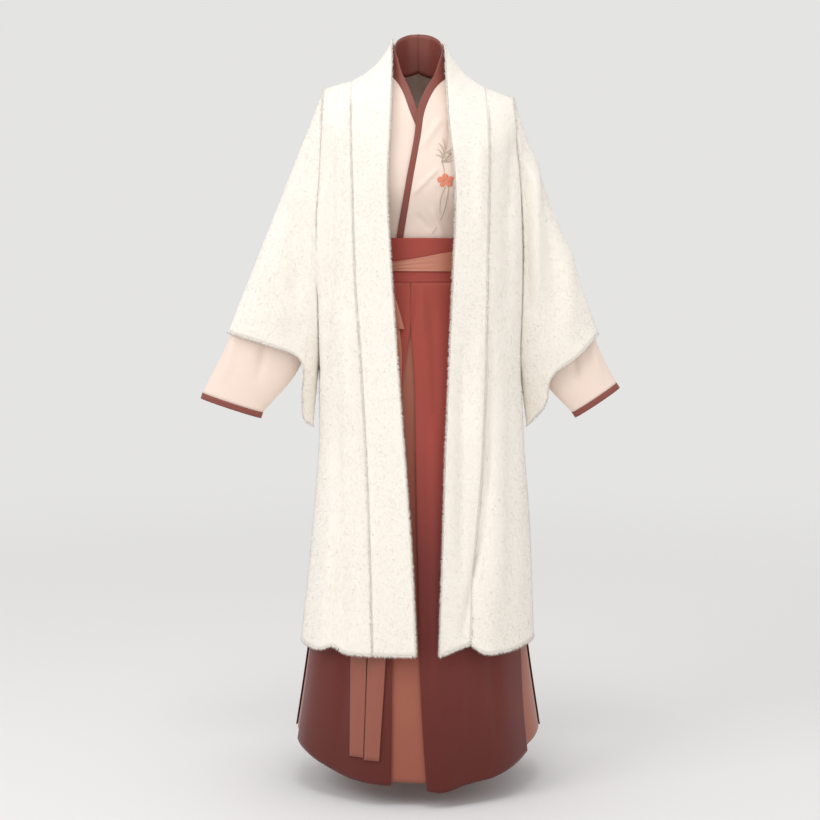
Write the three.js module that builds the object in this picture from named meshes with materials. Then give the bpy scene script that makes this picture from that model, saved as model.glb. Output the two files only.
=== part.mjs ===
// Hanfu set, filled out as if worn: a long open coat of fluffy knit over a crossed-collar
// satin top and a two-layer skirt with a ribbon belt. Every piece is a thin wall of cloth.
// Millimetres, +Z up. The front faces -Y and the wearer's left is +X.
// The origin is the middle of the neck base, level with the tops of the shoulders.

import * as THREE from 'three';

// ---------------------------------------------------------------------------
// Driving dimensions
// ---------------------------------------------------------------------------

const SEAM_GAP = 0.3;
const KNIT_WALL = 3;
const SATIN_WALL = 1.2;
const COLLAR_WALL = 2;
const SKIRT_WALL = 1.2;
const RIBBON_WALL = 1;

const COAT_HEM = 1029;
const COAT_ARMHOLE = 540;
const COAT_BACK_NECK = 58;
const TOP_HEM = 366;
const TOP_ARMHOLE = 205;
const TOP_BACK_NECK = 20;
const OVERLAP_LIFT = 3.5;
const UNDERARM_EASE = 3.8;
const ARMHOLE_EASE = 0.5;
const NECK_EASE = 0.3;
const CUFF_LENGTH = 11;

const WAIST_TOP = 304;
const WAIST_LOW = 382;
const SKIRT_HEM = 1250;
const UNDERSKIRT_LIFT = -0.8;
const OVERSKIRT_LIFT = { waist: 0.9, hem: 4 };
const BELT_LIFT = 2.4;

const ARMHOLE_ROWS = 8;
const COAT_LOWER_ROWS = 6;
const TOP_LOWER_ROWS = 3;
const BACK_COLUMNS = 14;
const BACK_NECK_COLUMNS = 5;
const FRONT_COLUMNS = 6;
const BAND_COLUMNS = 2;
const COAT_SLEEVE_ROWS = 6;
const TOP_FRONT_COLUMNS = 8;
const TOP_SLEEVE_ROWS = 7;
const COLLAR_COLUMNS = 2;
const WAIST_COLUMNS = 32;
const RIBBON_COLUMNS = 2;
const TAIL_STEP = 70;
const OVERSKIRT_COLUMNS = { right: 10, left: 12 };
const SKIRT_ROWS = 5;
const SKIRT_STEP = 7.5;
const SIDE_SEAM_RADIUS = 190;
const SKIRT_SEAM_HALF_DEGREES = 0.075;

// ---------------------------------------------------------------------------
// Colours
// ---------------------------------------------------------------------------

const CREAM = '#f6eee1';
const BLUSH = '#efd9c8';
const MAROON = '#7d3129';
const RUST = '#a0443a';
const SALMON = '#b9775f';

// ---------------------------------------------------------------------------
// Body forms: half width, front depth and back depth at each drop below the shoulder line
// ---------------------------------------------------------------------------

const COAT = {
  squareness: 2.4,
  frontRound: 240,
  backRound: 110,
  tipRound: 62,
  shoulder: { height: -28, slope: 0.34, neckSlope: 0.5, tilt: 0.05, bend: 117 },
  rows: [
    { drop: 0, half: 182, shift: 0, front: 122, back: 110 },
    { drop: 270, half: 195, shift: 4, front: 127, back: 120 },
    { drop: 540, half: 181, shift: 2, front: 138, back: 140 },
    { drop: 660, half: 183, shift: 5, front: 149, back: 153 },
    { drop: 760, half: 191, shift: 6, front: 158, back: 163 },
    { drop: 850, half: 198, shift: 5, front: 167, back: 173 },
    { drop: 1030, half: 211, shift: -1, front: 186, back: 192 },
  ],
  armhole: [
    { drop: 0, share: 0.92 },
    { drop: 250, share: 0.93 },
    { drop: 400, share: 0.965 },
    { drop: 500, share: 0.99 },
    { drop: 540, share: 1 },
  ],
  folds: [
    { top: -150, low: -176, from: 120, to: 640, width: 13, out: -7 },
    { top: 152, low: 150, from: 120, to: 640, width: 13, out: -7 },
    { top: -104, low: -148, from: 640, to: 1040, width: 17, out: -8 },
    { top: 118, low: 86, from: 640, to: 1040, width: 15, out: -9 },
    { top: -128, low: -182, from: 560, to: 1040, width: 14, out: 5 },
    { top: 138, low: 128, from: 560, to: 1040, width: 14, out: 5 },
  ],
  backFolds: [
    { top: -120, low: -150, from: 120, to: 1040, width: 20, out: -8 },
    { top: -60, low: -84, from: 260, to: 1040, width: 22, out: 7 },
    { top: 0, low: 6, from: 200, to: 1040, width: 22, out: -7 },
    { top: 62, low: 90, from: 260, to: 1040, width: 22, out: 7 },
    { top: 122, low: 152, from: 120, to: 1040, width: 20, out: -8 },
  ],
};

const TOP = {
  squareness: 2.2,
  frontRound: 240,
  backRound: 100,
  tipRound: 58,
  shoulder: { height: -40, slope: 0.34, neckSlope: 0.5, tilt: 0.05, bend: 117 },
  rows: [
    { drop: 0, half: 170, shift: 0, front: 108, back: 102 },
    { drop: 120, half: 166, shift: 0, front: 110, back: 104 },
    { drop: 215, half: 156, shift: 0, front: 112, back: 98 },
    { drop: 290, half: 114, shift: 0, front: 86, back: 88 },
    { drop: 372, half: 114, shift: 0, front: 85, back: 88 },
  ],
  armhole: [
    { drop: 0, share: 0.92 },
    { drop: 120, share: 0.94 },
    { drop: 180, share: 0.98 },
    { drop: 205, share: 1 },
  ],
  folds: [],
  backFolds: [],
};

// Front opening of the coat: free edge and band seam of the wearer's right and left fronts
const COAT_OPENING = [
  { drop: 0, rightEdge: -47, rightSeam: -119.6, leftEdge: 47, leftSeam: 119.6 },
  { drop: 100, rightEdge: -50, rightSeam: -117, leftEdge: 54, leftSeam: 122 },
  { drop: 220, rightEdge: -55, rightSeam: -114, leftEdge: 65, leftSeam: 121 },
  { drop: 380, rightEdge: -47, rightSeam: -109, leftEdge: 60, leftSeam: 119 },
  { drop: 540, rightEdge: -36, rightSeam: -99, leftEdge: 53, leftSeam: 116 },
  { drop: 700, rightEdge: -24, rightSeam: -90, leftEdge: 47, leftSeam: 109 },
  { drop: 860, rightEdge: -13, rightSeam: -84, leftEdge: 42, leftSeam: 98 },
  { drop: 1035, rightEdge: -5, rightSeam: -79, leftEdge: 36, leftSeam: 89 },
];

// How far the band's free edge stands off the coat's form beside the neck
const BAND_LIFT = [
  { drop: 0, y: 4, z: 40 },
  { drop: 20, y: 10, z: 24 },
  { drop: 45, y: 3, z: 10 },
  { drop: 100, y: 0, z: 0 },
];

// Free edge of the band behind the neck, from the centre back (0) to the shoulder (1)
const BAND_NECK = [
  { turn: 0, x: 0, y: 72, z: 40, sag: 3 },
  { turn: 0.35, x: 24, y: 67, z: 42, sag: 5 },
  { turn: 0.7, x: 41, y: 42, z: 45, sag: 7 },
  { turn: 1, x: 47, y: 4, z: 45.6, sag: 10 },
];

// Hem of the coat: how much each gathered place is lifted
const COAT_HEM_LIFTS = [
  { x: -152, width: 15, lift: 9 },
  { x: 86, width: 20, lift: 18 },
  { x: 205, width: 30, lift: 6 },
];

// Opening edge of each coat sleeve in front view, from its upper corner round to the underarm
const COAT_SLEEVE_HEM = {
  right: [
    { share: 0, x: -344, z: -471 },
    { share: 0.25, x: -276, z: -491 },
    { share: 0.5, x: -213, z: -519 },
    { share: 0.75, x: -211, z: -582 },
    { share: 0.9, x: -209, z: -626 },
    { share: 1, x: -193, z: -641 },
  ],
  left: [
    { share: 0, x: 325, z: -473 },
    { share: 0.25, x: 287, z: -513 },
    { share: 0.5, x: 241, z: -550 },
    { share: 0.75, x: 231, z: -600 },
    { share: 1, x: 199, z: -641 },
  ],
};
const COAT_SLEEVE_DEPTH = 50;
const COAT_SLEEVE_NARROWING = 0.6;

// Crossed neck opening of the top: panel edge of each front, and the step from there to the
// free edge of the collar strip
const TOP_OPENING = [
  { drop: 0, over: 58, under: -58, inward: 14, y: -4, z: 40 },
  { drop: 12, over: 49, under: -49, inward: 12, y: 0, z: 25 },
  { drop: 30, over: 37, under: -38, inward: 9, y: 3, z: 12 },
  { drop: 55, over: 24, under: -27, inward: 10, y: 3, z: 6 },
  { drop: 95, over: 10, under: -14, inward: 11, y: 0, z: 3 },
  { drop: 140, over: 3, under: 3, inward: 11, y: 0, z: 2 },
  { drop: 205, over: -10, under: 24, inward: 11, y: 0, z: 2 },
  { drop: 304, over: -27, under: 44, inward: 11.5, y: 0, z: 1 },
  { drop: 372, over: -36, under: 52, inward: 11.5, y: 0, z: 0 },
];

// Free edge of the top's collar behind the neck
const COLLAR_NECK = [
  { turn: 0, x: 0, y: 56, z: 69 },
  { turn: 0.35, x: 20, y: 51, z: 66 },
  { turn: 0.7, x: 37, y: 28, z: 54 },
  { turn: 1, x: 44, y: -4, z: 34.5 },
];

// Upper and lower lines of each sleeve of the top in front view, with the half depth
const TOP_SLEEVE = {
  right: [
    { at: 0, upX: -156, upZ: -50, lowX: -160, lowZ: -250, depth: 55 },
    { at: 0.2, upX: -188, upZ: -128, lowX: -168, lowZ: -285, depth: 50 },
    { at: 0.45, upX: -246, upZ: -266, lowX: -176, lowZ: -350, depth: 40 },
    { at: 0.65, upX: -295, upZ: -382, lowX: -192, lowZ: -440, depth: 31 },
    { at: 0.82, upX: -339, upZ: -478, lowX: -216, lowZ: -537, depth: 23 },
    { at: 1, upX: -393, upZ: -583, lowX: -284, lowZ: -619, depth: 20 },
  ],
  left: [
    { at: 0, upX: 158, upZ: -58, lowX: 162, lowZ: -255, depth: 55 },
    { at: 0.2, upX: 186, upZ: -136, lowX: 170, lowZ: -290, depth: 50 },
    { at: 0.45, upX: 238, upZ: -268, lowX: 182, lowZ: -360, depth: 40 },
    { at: 0.65, upX: 279, upZ: -375, lowX: 200, lowZ: -446, depth: 31 },
    { at: 0.82, upX: 320, upZ: -485, lowX: 226, lowZ: -554, depth: 23 },
    { at: 1, upX: 361, upZ: -565, lowX: 281, lowZ: -619, depth: 20 },
  ],
};

// Skirt: half width and half depth of the underskirt at each drop
const SKIRT_ROWS_TABLE = [
  { drop: 304, half: 122, depth: 97 },
  { drop: 382, half: 128, depth: 102 },
  { drop: 480, half: 141, depth: 111 },
  { drop: 640, half: 158, depth: 125 },
  { drop: 830, half: 176, depth: 143 },
  { drop: 1040, half: 199, depth: 164 },
  { drop: 1270, half: 234, depth: 194 },
];

// Soft flutes of the skirt, in degrees round from the front, full at the hem
const FLUTES = [
  { deg: -150, width: 10, out: 8 },
  { deg: -128, width: 10, out: -4 },
  { deg: -108, width: 10, out: 5 },
  { deg: -62, width: 10, out: 4 },
  { deg: -38, width: 10, out: -4 },
  { deg: -16, width: 9, out: 3 },
  { deg: 10, width: 8, out: 8 },
  { deg: 38, width: 12, out: 3 },
  { deg: 60, width: 10, out: -3 },
  { deg: 108, width: 10, out: 5 },
  { deg: 130, width: 10, out: -4 },
  { deg: 152, width: 10, out: 8 },
  { deg: 180, width: 10, out: -5 },
];

// Hem of the skirt, round from the front
const SKIRT_HEM_TABLE = [
  { deg: 0, drop: 1252 },
  { deg: 30, drop: 1247 },
  { deg: 50, drop: 1228 },
  { deg: 64, drop: 1212 },
  { deg: 90, drop: 1198 },
  { deg: 130, drop: 1225 },
  { deg: 180, drop: 1240 },
];
const OVERSKIRT_EXTRA = 6;
const SLIT_CORNER = { deg: 9, width: 9, drop: 10 };

// Edges of the three overskirt panels: front slit in millimetres across, side slits in degrees
const SLIT = [
  { drop: 382, right: -14.5, left: -13.5, rightSide: -89.7, leftSide: 89.7, backSide: 90.3 },
  { drop: 460, right: -14.5, left: -13.5, rightSide: -89, leftSide: 88.5, backSide: 91 },
  { drop: 556, right: -27, left: -7, rightSide: -87, leftSide: 86, backSide: 92 },
  { drop: 700, right: -34, left: -5, rightSide: -84, leftSide: 81, backSide: 93.5 },
  { drop: 1040, right: -45, left: 2, rightSide: -74, leftSide: 68, backSide: 96 },
  { drop: 1160, right: -46, left: 8, rightSide: -73, leftSide: 62, backSide: 97 },
  { drop: 1270, right: -47, left: 16, rightSide: -73, leftSide: 59, backSide: 98 },
];

// Ribbon belt round the waist: its upper and lower edge, narrow where the knot gathers it
const BELT = [
  { deg: -180, top: 326, low: 366 },
  { deg: -90, top: 328, low: 366 },
  { deg: -50, top: 337, low: 365 },
  { deg: -34, top: 347, low: 364 },
  { deg: -21, top: 346, low: 362 },
  { deg: 0, top: 339, low: 362.5 },
  { deg: 27, top: 329, low: 363 },
  { deg: 90, top: 326, low: 366 },
  { deg: 180, top: 326, low: 366 },
];
const KNOT = { x: -70, drop: 364, width: 17, depth: 8, height: 15, lift: 13 };
const KNOT_SEGMENTS = { round: 12, high: 8 };

// Hanging ends of the ribbon: middle line, width and how far each rests off the skirt
const TAILS = {
  belt_tail_short: [
    { drop: 382, x: -60, width: 22, lift: 13 },
    { drop: 410, x: -52, width: 28, lift: 10 },
    { drop: 464, x: -39, width: 31, lift: 9.5 },
  ],
  belt_tail_long_a: [
    { drop: 382, x: -84, width: 18, lift: 9 },
    { drop: 460, x: -88, width: 28, lift: 7.4 },
    { drop: 700, x: -96, width: 31, lift: 7.4 },
    { drop: 1030, x: -103, width: 31, lift: 7.4 },
    { drop: 1213, x: -106, width: 25, lift: 7.4 },
  ],
  belt_tail_long_b: [
    { drop: 382, x: -70, width: 16, lift: 7 },
    { drop: 430, x: -52, width: 26, lift: 7 },
    { drop: 520, x: -43, width: 30, lift: 7.4 },
    { drop: 700, x: -55, width: 31, lift: 7.4 },
    { drop: 1030, x: -70, width: 31, lift: 7.4 },
    { drop: 1216, x: -79, width: 26, lift: 7.4 },
  ],
};

// ---------------------------------------------------------------------------
// Reading tables and shaping curves
// ---------------------------------------------------------------------------

/** Value of a column at a place along the key column, on a smooth curve through the rows. */
function read(table, key, column, at) {
  const last = table.length - 1;
  if (at <= table[0][key]) return table[0][column];
  if (at >= table[last][key]) return table[last][column];
  const i = table.findIndex((row, k) => k < last && at <= table[k + 1][key]);
  const slope = (k) => {
    const before = table[Math.max(k - 1, 0)];
    const after = table[Math.min(k + 1, last)];
    return (after[column] - before[column]) / (after[key] - before[key]);
  };
  const step = table[i + 1][key] - table[i][key];
  const t = (at - table[i][key]) / step;
  const a = table[i][column];
  const b = table[i + 1][column];
  const start = slope(i) * step;
  const end = slope(i + 1) * step;
  return a + t * (start + t * (3 * (b - a) - 2 * start - end + t * (2 * (a - b) + start + end)));
}

const lerp = THREE.MathUtils.lerp;
const radians = THREE.MathUtils.degToRad;

/** 0 before a, 1 after b, smooth between. */
function smooth(a, b, at) {
  return THREE.MathUtils.smoothstep(at, a, b);
}

/** A soft bump of height 1 at zero, one width wide. */
function bump(distance, width) {
  return Math.exp(-((distance / width) ** 2));
}

/** Share of the full depth reached at a drop below a shoulder that rounds over a radius. */
function rise(drop, radius) {
  const left = 1 - Math.min(drop / radius, 1);
  return Math.sqrt(1 - left * left);
}

// ---------------------------------------------------------------------------
// Upper-body forms
// ---------------------------------------------------------------------------

/** Height of the shoulder line across the body. */
function shoulderHeight(shoulder, x) {
  const past = Math.abs(x) - shoulder.bend;
  const slope = past > 0 ? shoulder.slope : shoulder.neckSlope;
  return shoulder.height - slope * past - shoulder.tilt * x;
}

/** Outward push of the folds of one face at a place across it. */
function foldPush(folds, x, drop) {
  return folds.reduce((sum, fold) => {
    const along = (drop - fold.from) / (fold.to - fold.from);
    const middle = lerp(fold.top, fold.low, along);
    const ease = smooth(0, 0.3, along) * (1 - smooth(0.9, 1.5, along));
    return sum + fold.out * ease * bump(x - middle, fold.width);
  }, 0);
}

/** Point of a form: angle 0 is the front, 90 degrees the wearer's left and 180 the back. */
function formPoint(form, angle, drop) {
  const across = Math.sin(angle);
  const ahead = Math.cos(angle);
  const power = 2 / form.squareness;
  const half = read(form.rows, 'drop', 'half', drop);
  const x = read(form.rows, 'drop', 'shift', drop) + half * Math.sign(across) * Math.abs(across) ** power;
  const facing = ahead >= 0;
  const round = lerp(
    facing ? form.frontRound : form.backRound,
    form.tipRound,
    Math.min(Math.abs(x) / half, 1) ** 1.5,
  );
  const push = foldPush(facing ? form.folds : form.backFolds, x, drop);
  const depth = read(form.rows, 'drop', facing ? 'front' : 'back', drop) + push;
  const y = -Math.sign(ahead) * depth * rise(drop, round) * Math.abs(ahead) ** power;
  const z = -drop + shoulderHeight(form.shoulder, x) * (1 - smooth(0, 300, drop));
  return new THREE.Vector3(x, y, z);
}

/** Angle from the front at which a form is x wide at a drop. */
function angleAt(form, x, drop) {
  const half = read(form.rows, 'drop', 'half', drop);
  const share = (x - read(form.rows, 'drop', 'shift', drop)) / half;
  return Math.sign(share) * Math.asin(Math.min(Math.abs(share), 1) ** (form.squareness / 2));
}

/** Angle of the armhole seam, which closes at the underarm into the side seam. */
function armholeAngle(form, drop) {
  return Math.asin(Math.min(read(form.armhole, 'drop', 'share', drop), 1) ** (form.squareness / 2));
}

/** Point of a form moved out along its own normal. */
function lifted(point, lift, a, b) {
  return point(a, b).addScaledVector(outward(point, a, b), lift);
}

/** Unit normal of a point function, on the side away from the body's axis. */
function outward(point, a, b) {
  const step = 0.002;
  const alongA = point(a + step, b).sub(point(a - step, b));
  const alongB = point(a, b + step).sub(point(a, b - step));
  const normal = alongA.cross(alongB).normalize();
  const centre = point(a, b);
  return normal.dot(new THREE.Vector3(centre.x, centre.y, 0)) < 0 ? normal.negate() : normal;
}

/** Drop at a share of the way down: rows crowd at the ends of the armhole, then run evenly. */
function dropAt(armhole, hem, lowerRows, share) {
  const split = ARMHOLE_ROWS / (ARMHOLE_ROWS + lowerRows);
  if (share <= split) return (armhole * (1 - Math.cos((Math.PI * share) / split))) / 2;
  return lerp(armhole, hem, (share - split) / (1 - split));
}

// ---------------------------------------------------------------------------
// Walls of cloth
// ---------------------------------------------------------------------------

const garment = new THREE.Group();

/** Unit normal of a surface over 0..1 by 0..1. */
function surfaceNormal(surface, u, v, closed) {
  const step = 0.001;
  const u0 = closed ? u - step : Math.max(u - step, 0);
  const u1 = closed ? u + step : Math.min(u + step, 1);
  const alongU = surface(u1, v).sub(surface(u0, v));
  const alongV = surface(u, Math.min(v + step, 1)).sub(surface(u, Math.max(v - step, 0)));
  return alongU.cross(alongV).normalize();
}

/** Shared direction of two walls' rims, so that they meet in a mitre. */
function mitre(a, b) {
  const other = a.dot(b) < 0 ? b.clone().negate() : b;
  const middle = a.clone().add(other).normalize();
  return middle.divideScalar(Math.max(middle.dot(a), 0.75));
}

/**
 * Cloth wall through a surface: two skins half a wall either side of it, closed by rims.
 * `rim(u, v, normal)` may return a mitred direction for points on a seam.
 */
function addCloth(name, colour, wall, surface, columns, rows, { closed = false, rim = null } = {}) {
  const places = [];
  const wide = closed ? columns : columns + 1;
  for (let j = 0; j <= rows; j += 1) {
    for (let i = 0; i < wide; i += 1) {
      const u = i / columns;
      const v = j / rows;
      const normal = surfaceNormal(surface, u, v, closed);
      const direction = rim?.(u, v, normal) ?? normal;
      places.push({ point: surface(u, v), direction });
    }
  }
  const skins = [wall / 2, -wall / 2].flatMap((offset) =>
    places.map(({ point, direction }) => point.clone().addScaledVector(direction, offset)));
  const at = (i, j, skin) => skin * places.length + j * wide + (i % wide);
  const faces = [];
  const quad = (a, b, c, d) => faces.push(a, b, c, a, c, d);
  for (let j = 0; j < rows; j += 1) {
    for (let i = 0; i < columns; i += 1) {
      quad(at(i, j, 0), at(i + 1, j, 0), at(i + 1, j + 1, 0), at(i, j + 1, 0));
      quad(at(i, j, 1), at(i, j + 1, 1), at(i + 1, j + 1, 1), at(i + 1, j, 1));
    }
  }
  for (let i = 0; i < columns; i += 1) {
    quad(at(i, 0, 1), at(i + 1, 0, 1), at(i + 1, 0, 0), at(i, 0, 0));
    quad(at(i, rows, 0), at(i + 1, rows, 0), at(i + 1, rows, 1), at(i, rows, 1));
  }
  if (!closed) {
    for (let j = 0; j < rows; j += 1) {
      quad(at(0, j, 0), at(0, j + 1, 0), at(0, j + 1, 1), at(0, j, 1));
      quad(at(columns, j, 1), at(columns, j + 1, 1), at(columns, j + 1, 0), at(columns, j, 0));
    }
  }
  addBody(name, colour, skins, faces);
}

/** Adds a closed body, turned so that its faces point out. */
function addBody(name, colour, points, faces) {
  let volume = 0;
  for (let k = 0; k < faces.length; k += 3) {
    const [a, b, c] = [points[faces[k]], points[faces[k + 1]], points[faces[k + 2]]];
    volume += a.dot(b.clone().cross(c));
  }
  const geometry = new THREE.BufferGeometry().setFromPoints(points);
  geometry.setIndex(volume < 0 ? faces.toReversed() : faces);
  geometry.computeVertexNormals();
  const material = new THREE.MeshStandardMaterial({ color: colour, roughness: 0.9, metalness: 0 });
  const mesh = new THREE.Mesh(geometry, material);
  mesh.name = name;
  garment.add(mesh);
}

// ---------------------------------------------------------------------------
// Coat: two fronts, back, two sleeves and a band from hem to hem round the neck
// ---------------------------------------------------------------------------

const SIDES = [
  { name: 'right', sign: -1 },
  { name: 'left', sign: 1 },
];
const coatSplit = ARMHOLE_ROWS / (ARMHOLE_ROWS + COAT_LOWER_ROWS);
const coatDrop = (v) => dropAt(COAT_ARMHOLE, COAT_HEM, COAT_LOWER_ROWS, v);
const seamAngle = SEAM_GAP / 2 / SIDE_SEAM_RADIUS;

/** Hem lift of the coat where it is gathered, growing over the lowest stretch. */
function coatHemLift(x, drop) {
  const lift = COAT_HEM_LIFTS.reduce((sum, row) => sum + row.lift * bump(x - row.x, row.width), 0);
  return lift * smooth(760, COAT_HEM, drop);
}

/** Point on the coat's form at an angle and a drop, with the hem's lifts. */
function coatPoint(angle, drop) {
  const point = formPoint(COAT, angle, drop);
  if (Math.cos(angle) > 0) point.z += coatHemLift(point.x, drop);
  return point;
}

/** Outer edge of a coat panel: the armhole, then the side seam. */
function coatOuterAngle(drop) {
  return drop < COAT_ARMHOLE ? armholeAngle(COAT, drop) : Math.PI / 2;
}

function coatFront(side) {
  return (u, v) => {
    const drop = coatDrop(v);
    const seam = read(COAT_OPENING, 'drop', `${side.name}Seam`, drop);
    const inner = angleAt(COAT, seam, drop);
    const outer = side.sign * (coatOuterAngle(drop) - seamAngle);
    const point = coatPoint(lerp(inner, outer, u), drop);
    point.y -= (SEAM_GAP / 2) * (1 - smooth(0, 20, drop));
    return point;
  };
}

/** Back panel: u runs from the wearer's right to left. */
function coatBack(u, v) {
  const across = 2 * u - 1;
  const edgeDrop = coatDrop(v);
  const neck = Math.abs(across) * (BACK_COLUMNS / 2 / BACK_NECK_COLUMNS);
  const dip = COAT_BACK_NECK * Math.max(0, 1 - neck ** 2);
  const drop = edgeDrop + dip * (1 - Math.min(edgeDrop / COAT_ARMHOLE, 1));
  const outer = coatOuterAngle(edgeDrop) - seamAngle;
  const share = Math.sin(outer) ** (2 / COAT.squareness);
  const even = Math.asin((Math.abs(across) * share) ** (COAT.squareness / 2));
  const angle = lerp(even, Math.abs(across) * outer, smooth(40, 300, edgeDrop));
  const point = coatPoint(Math.PI - Math.sign(across) * angle, drop);
  point.y += (SEAM_GAP / 2) * (1 - smooth(0, 20, drop));
  return point;
}

/** Place on the armhole seam of the coat; q runs down the front and up the back. */
function coatArmhole(side, q) {
  const down = (1 - Math.cos(2 * Math.PI * q)) / 2;
  const drop = COAT_ARMHOLE * down;
  const angle = armholeAngle(COAT, drop);
  return coatPoint(side.sign * (q <= 0.5 ? angle : Math.PI - angle), drop);
}

/** Sleeve: straight from the armhole to its opening edge, round over the arm, flat below. */
function coatSleeve(side) {
  const hem = COAT_SLEEVE_HEM[side.name];
  return (u, v) => {
    const q = ((u % 1) + 1) % 1;
    const down = (1 - Math.cos(2 * Math.PI * q)) / 2;
    const start = coatArmhole(side, q);
    const swell = 2 * Math.sqrt(down * (1 - down)) * (1 - COAT_SLEEVE_NARROWING * down);
    const end = new THREE.Vector3(
      read(hem, 'share', 'x', down),
      (q <= 0.5 ? -1 : 1) * COAT_SLEEVE_DEPTH * swell,
      read(hem, 'share', 'z', down),
    );
    const point = start.clone().lerp(end, v);
    point.x += side.sign * (SEAM_GAP + ARMHOLE_EASE + UNDERARM_EASE * down ** 3) * (1 - v);
    return point;
  };
}

/** Band: v runs from the centre back round the neck to the shoulder, then down to the hem. */
const BAND_NECK_ROWS = BACK_NECK_COLUMNS;
const BAND_ROWS = BAND_NECK_ROWS + ARMHOLE_ROWS + COAT_LOWER_ROWS;
const bandSplit = BAND_NECK_ROWS / BAND_ROWS;

function coatBand(side) {
  const front = coatFront(side);
  const seamAt = (v) => {
    if (v >= bandSplit) return front(0, (v - bandSplit) / (1 - bandSplit));
    const reach = (v / bandSplit) * (BACK_NECK_COLUMNS / BACK_COLUMNS);
    return coatBack(0.5 + side.sign * reach, 0);
  };
  const edgeAt = (v) => {
    if (v < bandSplit) {
      const turn = v / bandSplit;
      const [x, y, z] = ['x', 'y', 'z'].map((axis) => read(BAND_NECK, 'turn', axis, turn));
      return new THREE.Vector3(side.sign * x, y, z);
    }
    const drop = coatDrop((v - bandSplit) / (1 - bandSplit));
    const edge = read(COAT_OPENING, 'drop', `${side.name}Edge`, drop);
    const point = coatPoint(angleAt(COAT, edge, drop), drop);
    point.y += read(BAND_LIFT, 'drop', 'y', drop);
    point.z += read(BAND_LIFT, 'drop', 'z', drop);
    return point;
  };
  return (u, v) => {
    const seam = seamAt(v);
    const edge = edgeAt(v);
    const drop = v < bandSplit ? 0 : coatDrop((v - bandSplit) / (1 - bandSplit));
    const turn = Math.min(v / bandSplit, 1);
    const sag = read(BAND_NECK, 'turn', 'sag', turn) * (1 - smooth(0, 60, drop));
    const inward = new THREE.Vector3(-seam.x, -seam.y, 0).normalize().setZ(-0.9).normalize();
    const width = seam.distanceTo(edge);
    const point = seam.lerp(edge, lerp((SEAM_GAP + NECK_EASE) / width, 1, u));
    point.addScaledVector(inward, sag * 4 * u * (1 - u));
    if (v < bandSplit) point.x += side.sign * (SEAM_GAP / 2) * (1 - turn);
    return point;
  };
}

function addCoat() {
  const frontRows = ARMHOLE_ROWS + COAT_LOWER_ROWS;
  const backNormal = (u, v) => surfaceNormal(coatBack, u, v, false);
  SIDES.forEach((side) => {
    const front = coatFront(side);
    const sleeve = coatSleeve(side);
    const band = coatBand(side);
    const sleeveNormal = (q) => surfaceNormal(sleeve, q, 0, true);
    const bandNormal = (v) => surfaceNormal(band, 0, v, false);
    const frontBandShare = (v) => bandSplit + v * (1 - bandSplit);
    addCloth(`coat_front_${side.name}`, CREAM, KNIT_WALL, front, FRONT_COLUMNS, frontRows, {
      rim: (u, v, normal) => {
        if (u === 1 && v < coatSplit) return mitre(normal, sleeveNormal(v / coatSplit / 2));
        if (u === 0) return mitre(normal, bandNormal(frontBandShare(v)));
        return null;
      },
    });
    addCloth(`coat_sleeve_${side.name}`, CREAM, KNIT_WALL, sleeve, 2 * ARMHOLE_ROWS, COAT_SLEEVE_ROWS, {
      closed: true,
      rim: (u, v, normal) => {
        if (v > 0) return null;
        if (u <= 0.5) return mitre(normal, surfaceNormal(front, 1, 2 * u * coatSplit, false));
        const edge = side.sign < 0 ? 0 : 1;
        return mitre(normal, backNormal(edge, 2 * (1 - u) * coatSplit));
      },
    });
    addCloth(`coat_band_${side.name}`, CREAM, KNIT_WALL, band, BAND_COLUMNS, BAND_ROWS, {
      rim: (u, v, normal) => {
        if (v === 0) return normal.setX(0).normalize();
        if (u > 0) return null;
        if (v >= bandSplit) {
          return mitre(normal, surfaceNormal(front, 0, (v - bandSplit) / (1 - bandSplit), false));
        }
        const reach = (v / bandSplit) * (BACK_NECK_COLUMNS / BACK_COLUMNS);
        return mitre(normal, backNormal(0.5 + side.sign * reach, 0));
      },
    });
  });
  addCloth('coat_back', CREAM, KNIT_WALL, coatBack, BACK_COLUMNS, frontRows, {
    rim: (u, v, normal) => {
      const side = SIDES[u < 0.5 ? 0 : 1];
      if ((u === 0 || u === 1) && v < coatSplit) {
        return mitre(normal, surfaceNormal(coatSleeve(side), 1 - v / coatSplit / 2, 0, true));
      }
      const reach = Math.abs(u - 0.5) * (BACK_COLUMNS / BACK_NECK_COLUMNS);
      if (v > 0 || reach > 1) return null;
      return mitre(normal, surfaceNormal(coatBand(side), 0, reach * bandSplit, false));
    },
  });
}

// ---------------------------------------------------------------------------
// Top: back, two crossed fronts, collar, sleeves and cuffs
// ---------------------------------------------------------------------------

const topSplit = ARMHOLE_ROWS / (ARMHOLE_ROWS + TOP_LOWER_ROWS);
const topDrop = (v) => dropAt(TOP_ARMHOLE, TOP_HEM, TOP_LOWER_ROWS, v);
const topPoint = (angle, drop) => formPoint(TOP, angle, drop);
const TOP_NECK_SHARE = 0.375;
const TOP_BACK_COLUMNS = 16;
const TOP_NECK_COLUMNS = TOP_BACK_COLUMNS * TOP_NECK_SHARE;
const NECK_POINT = TOP_NECK_SHARE * TOP.armhole[0].share * TOP.rows[0].half;

/** Outer edge of a panel of the top: the armhole, then the side seam. */
function topOuterAngle(drop) {
  return drop < TOP_ARMHOLE ? armholeAngle(TOP, drop) : Math.PI / 2;
}

/** Where the panel edge of a front runs: the left front crosses over the right. */
function topEdge(side, drop) {
  const column = side.sign > 0 ? 'over' : 'under';
  const edge = read(TOP_OPENING, 'drop', column, drop);
  return edge + side.sign * (NECK_POINT - TOP_OPENING[0].over) * (1 - smooth(0, 40, drop));
}

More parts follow.
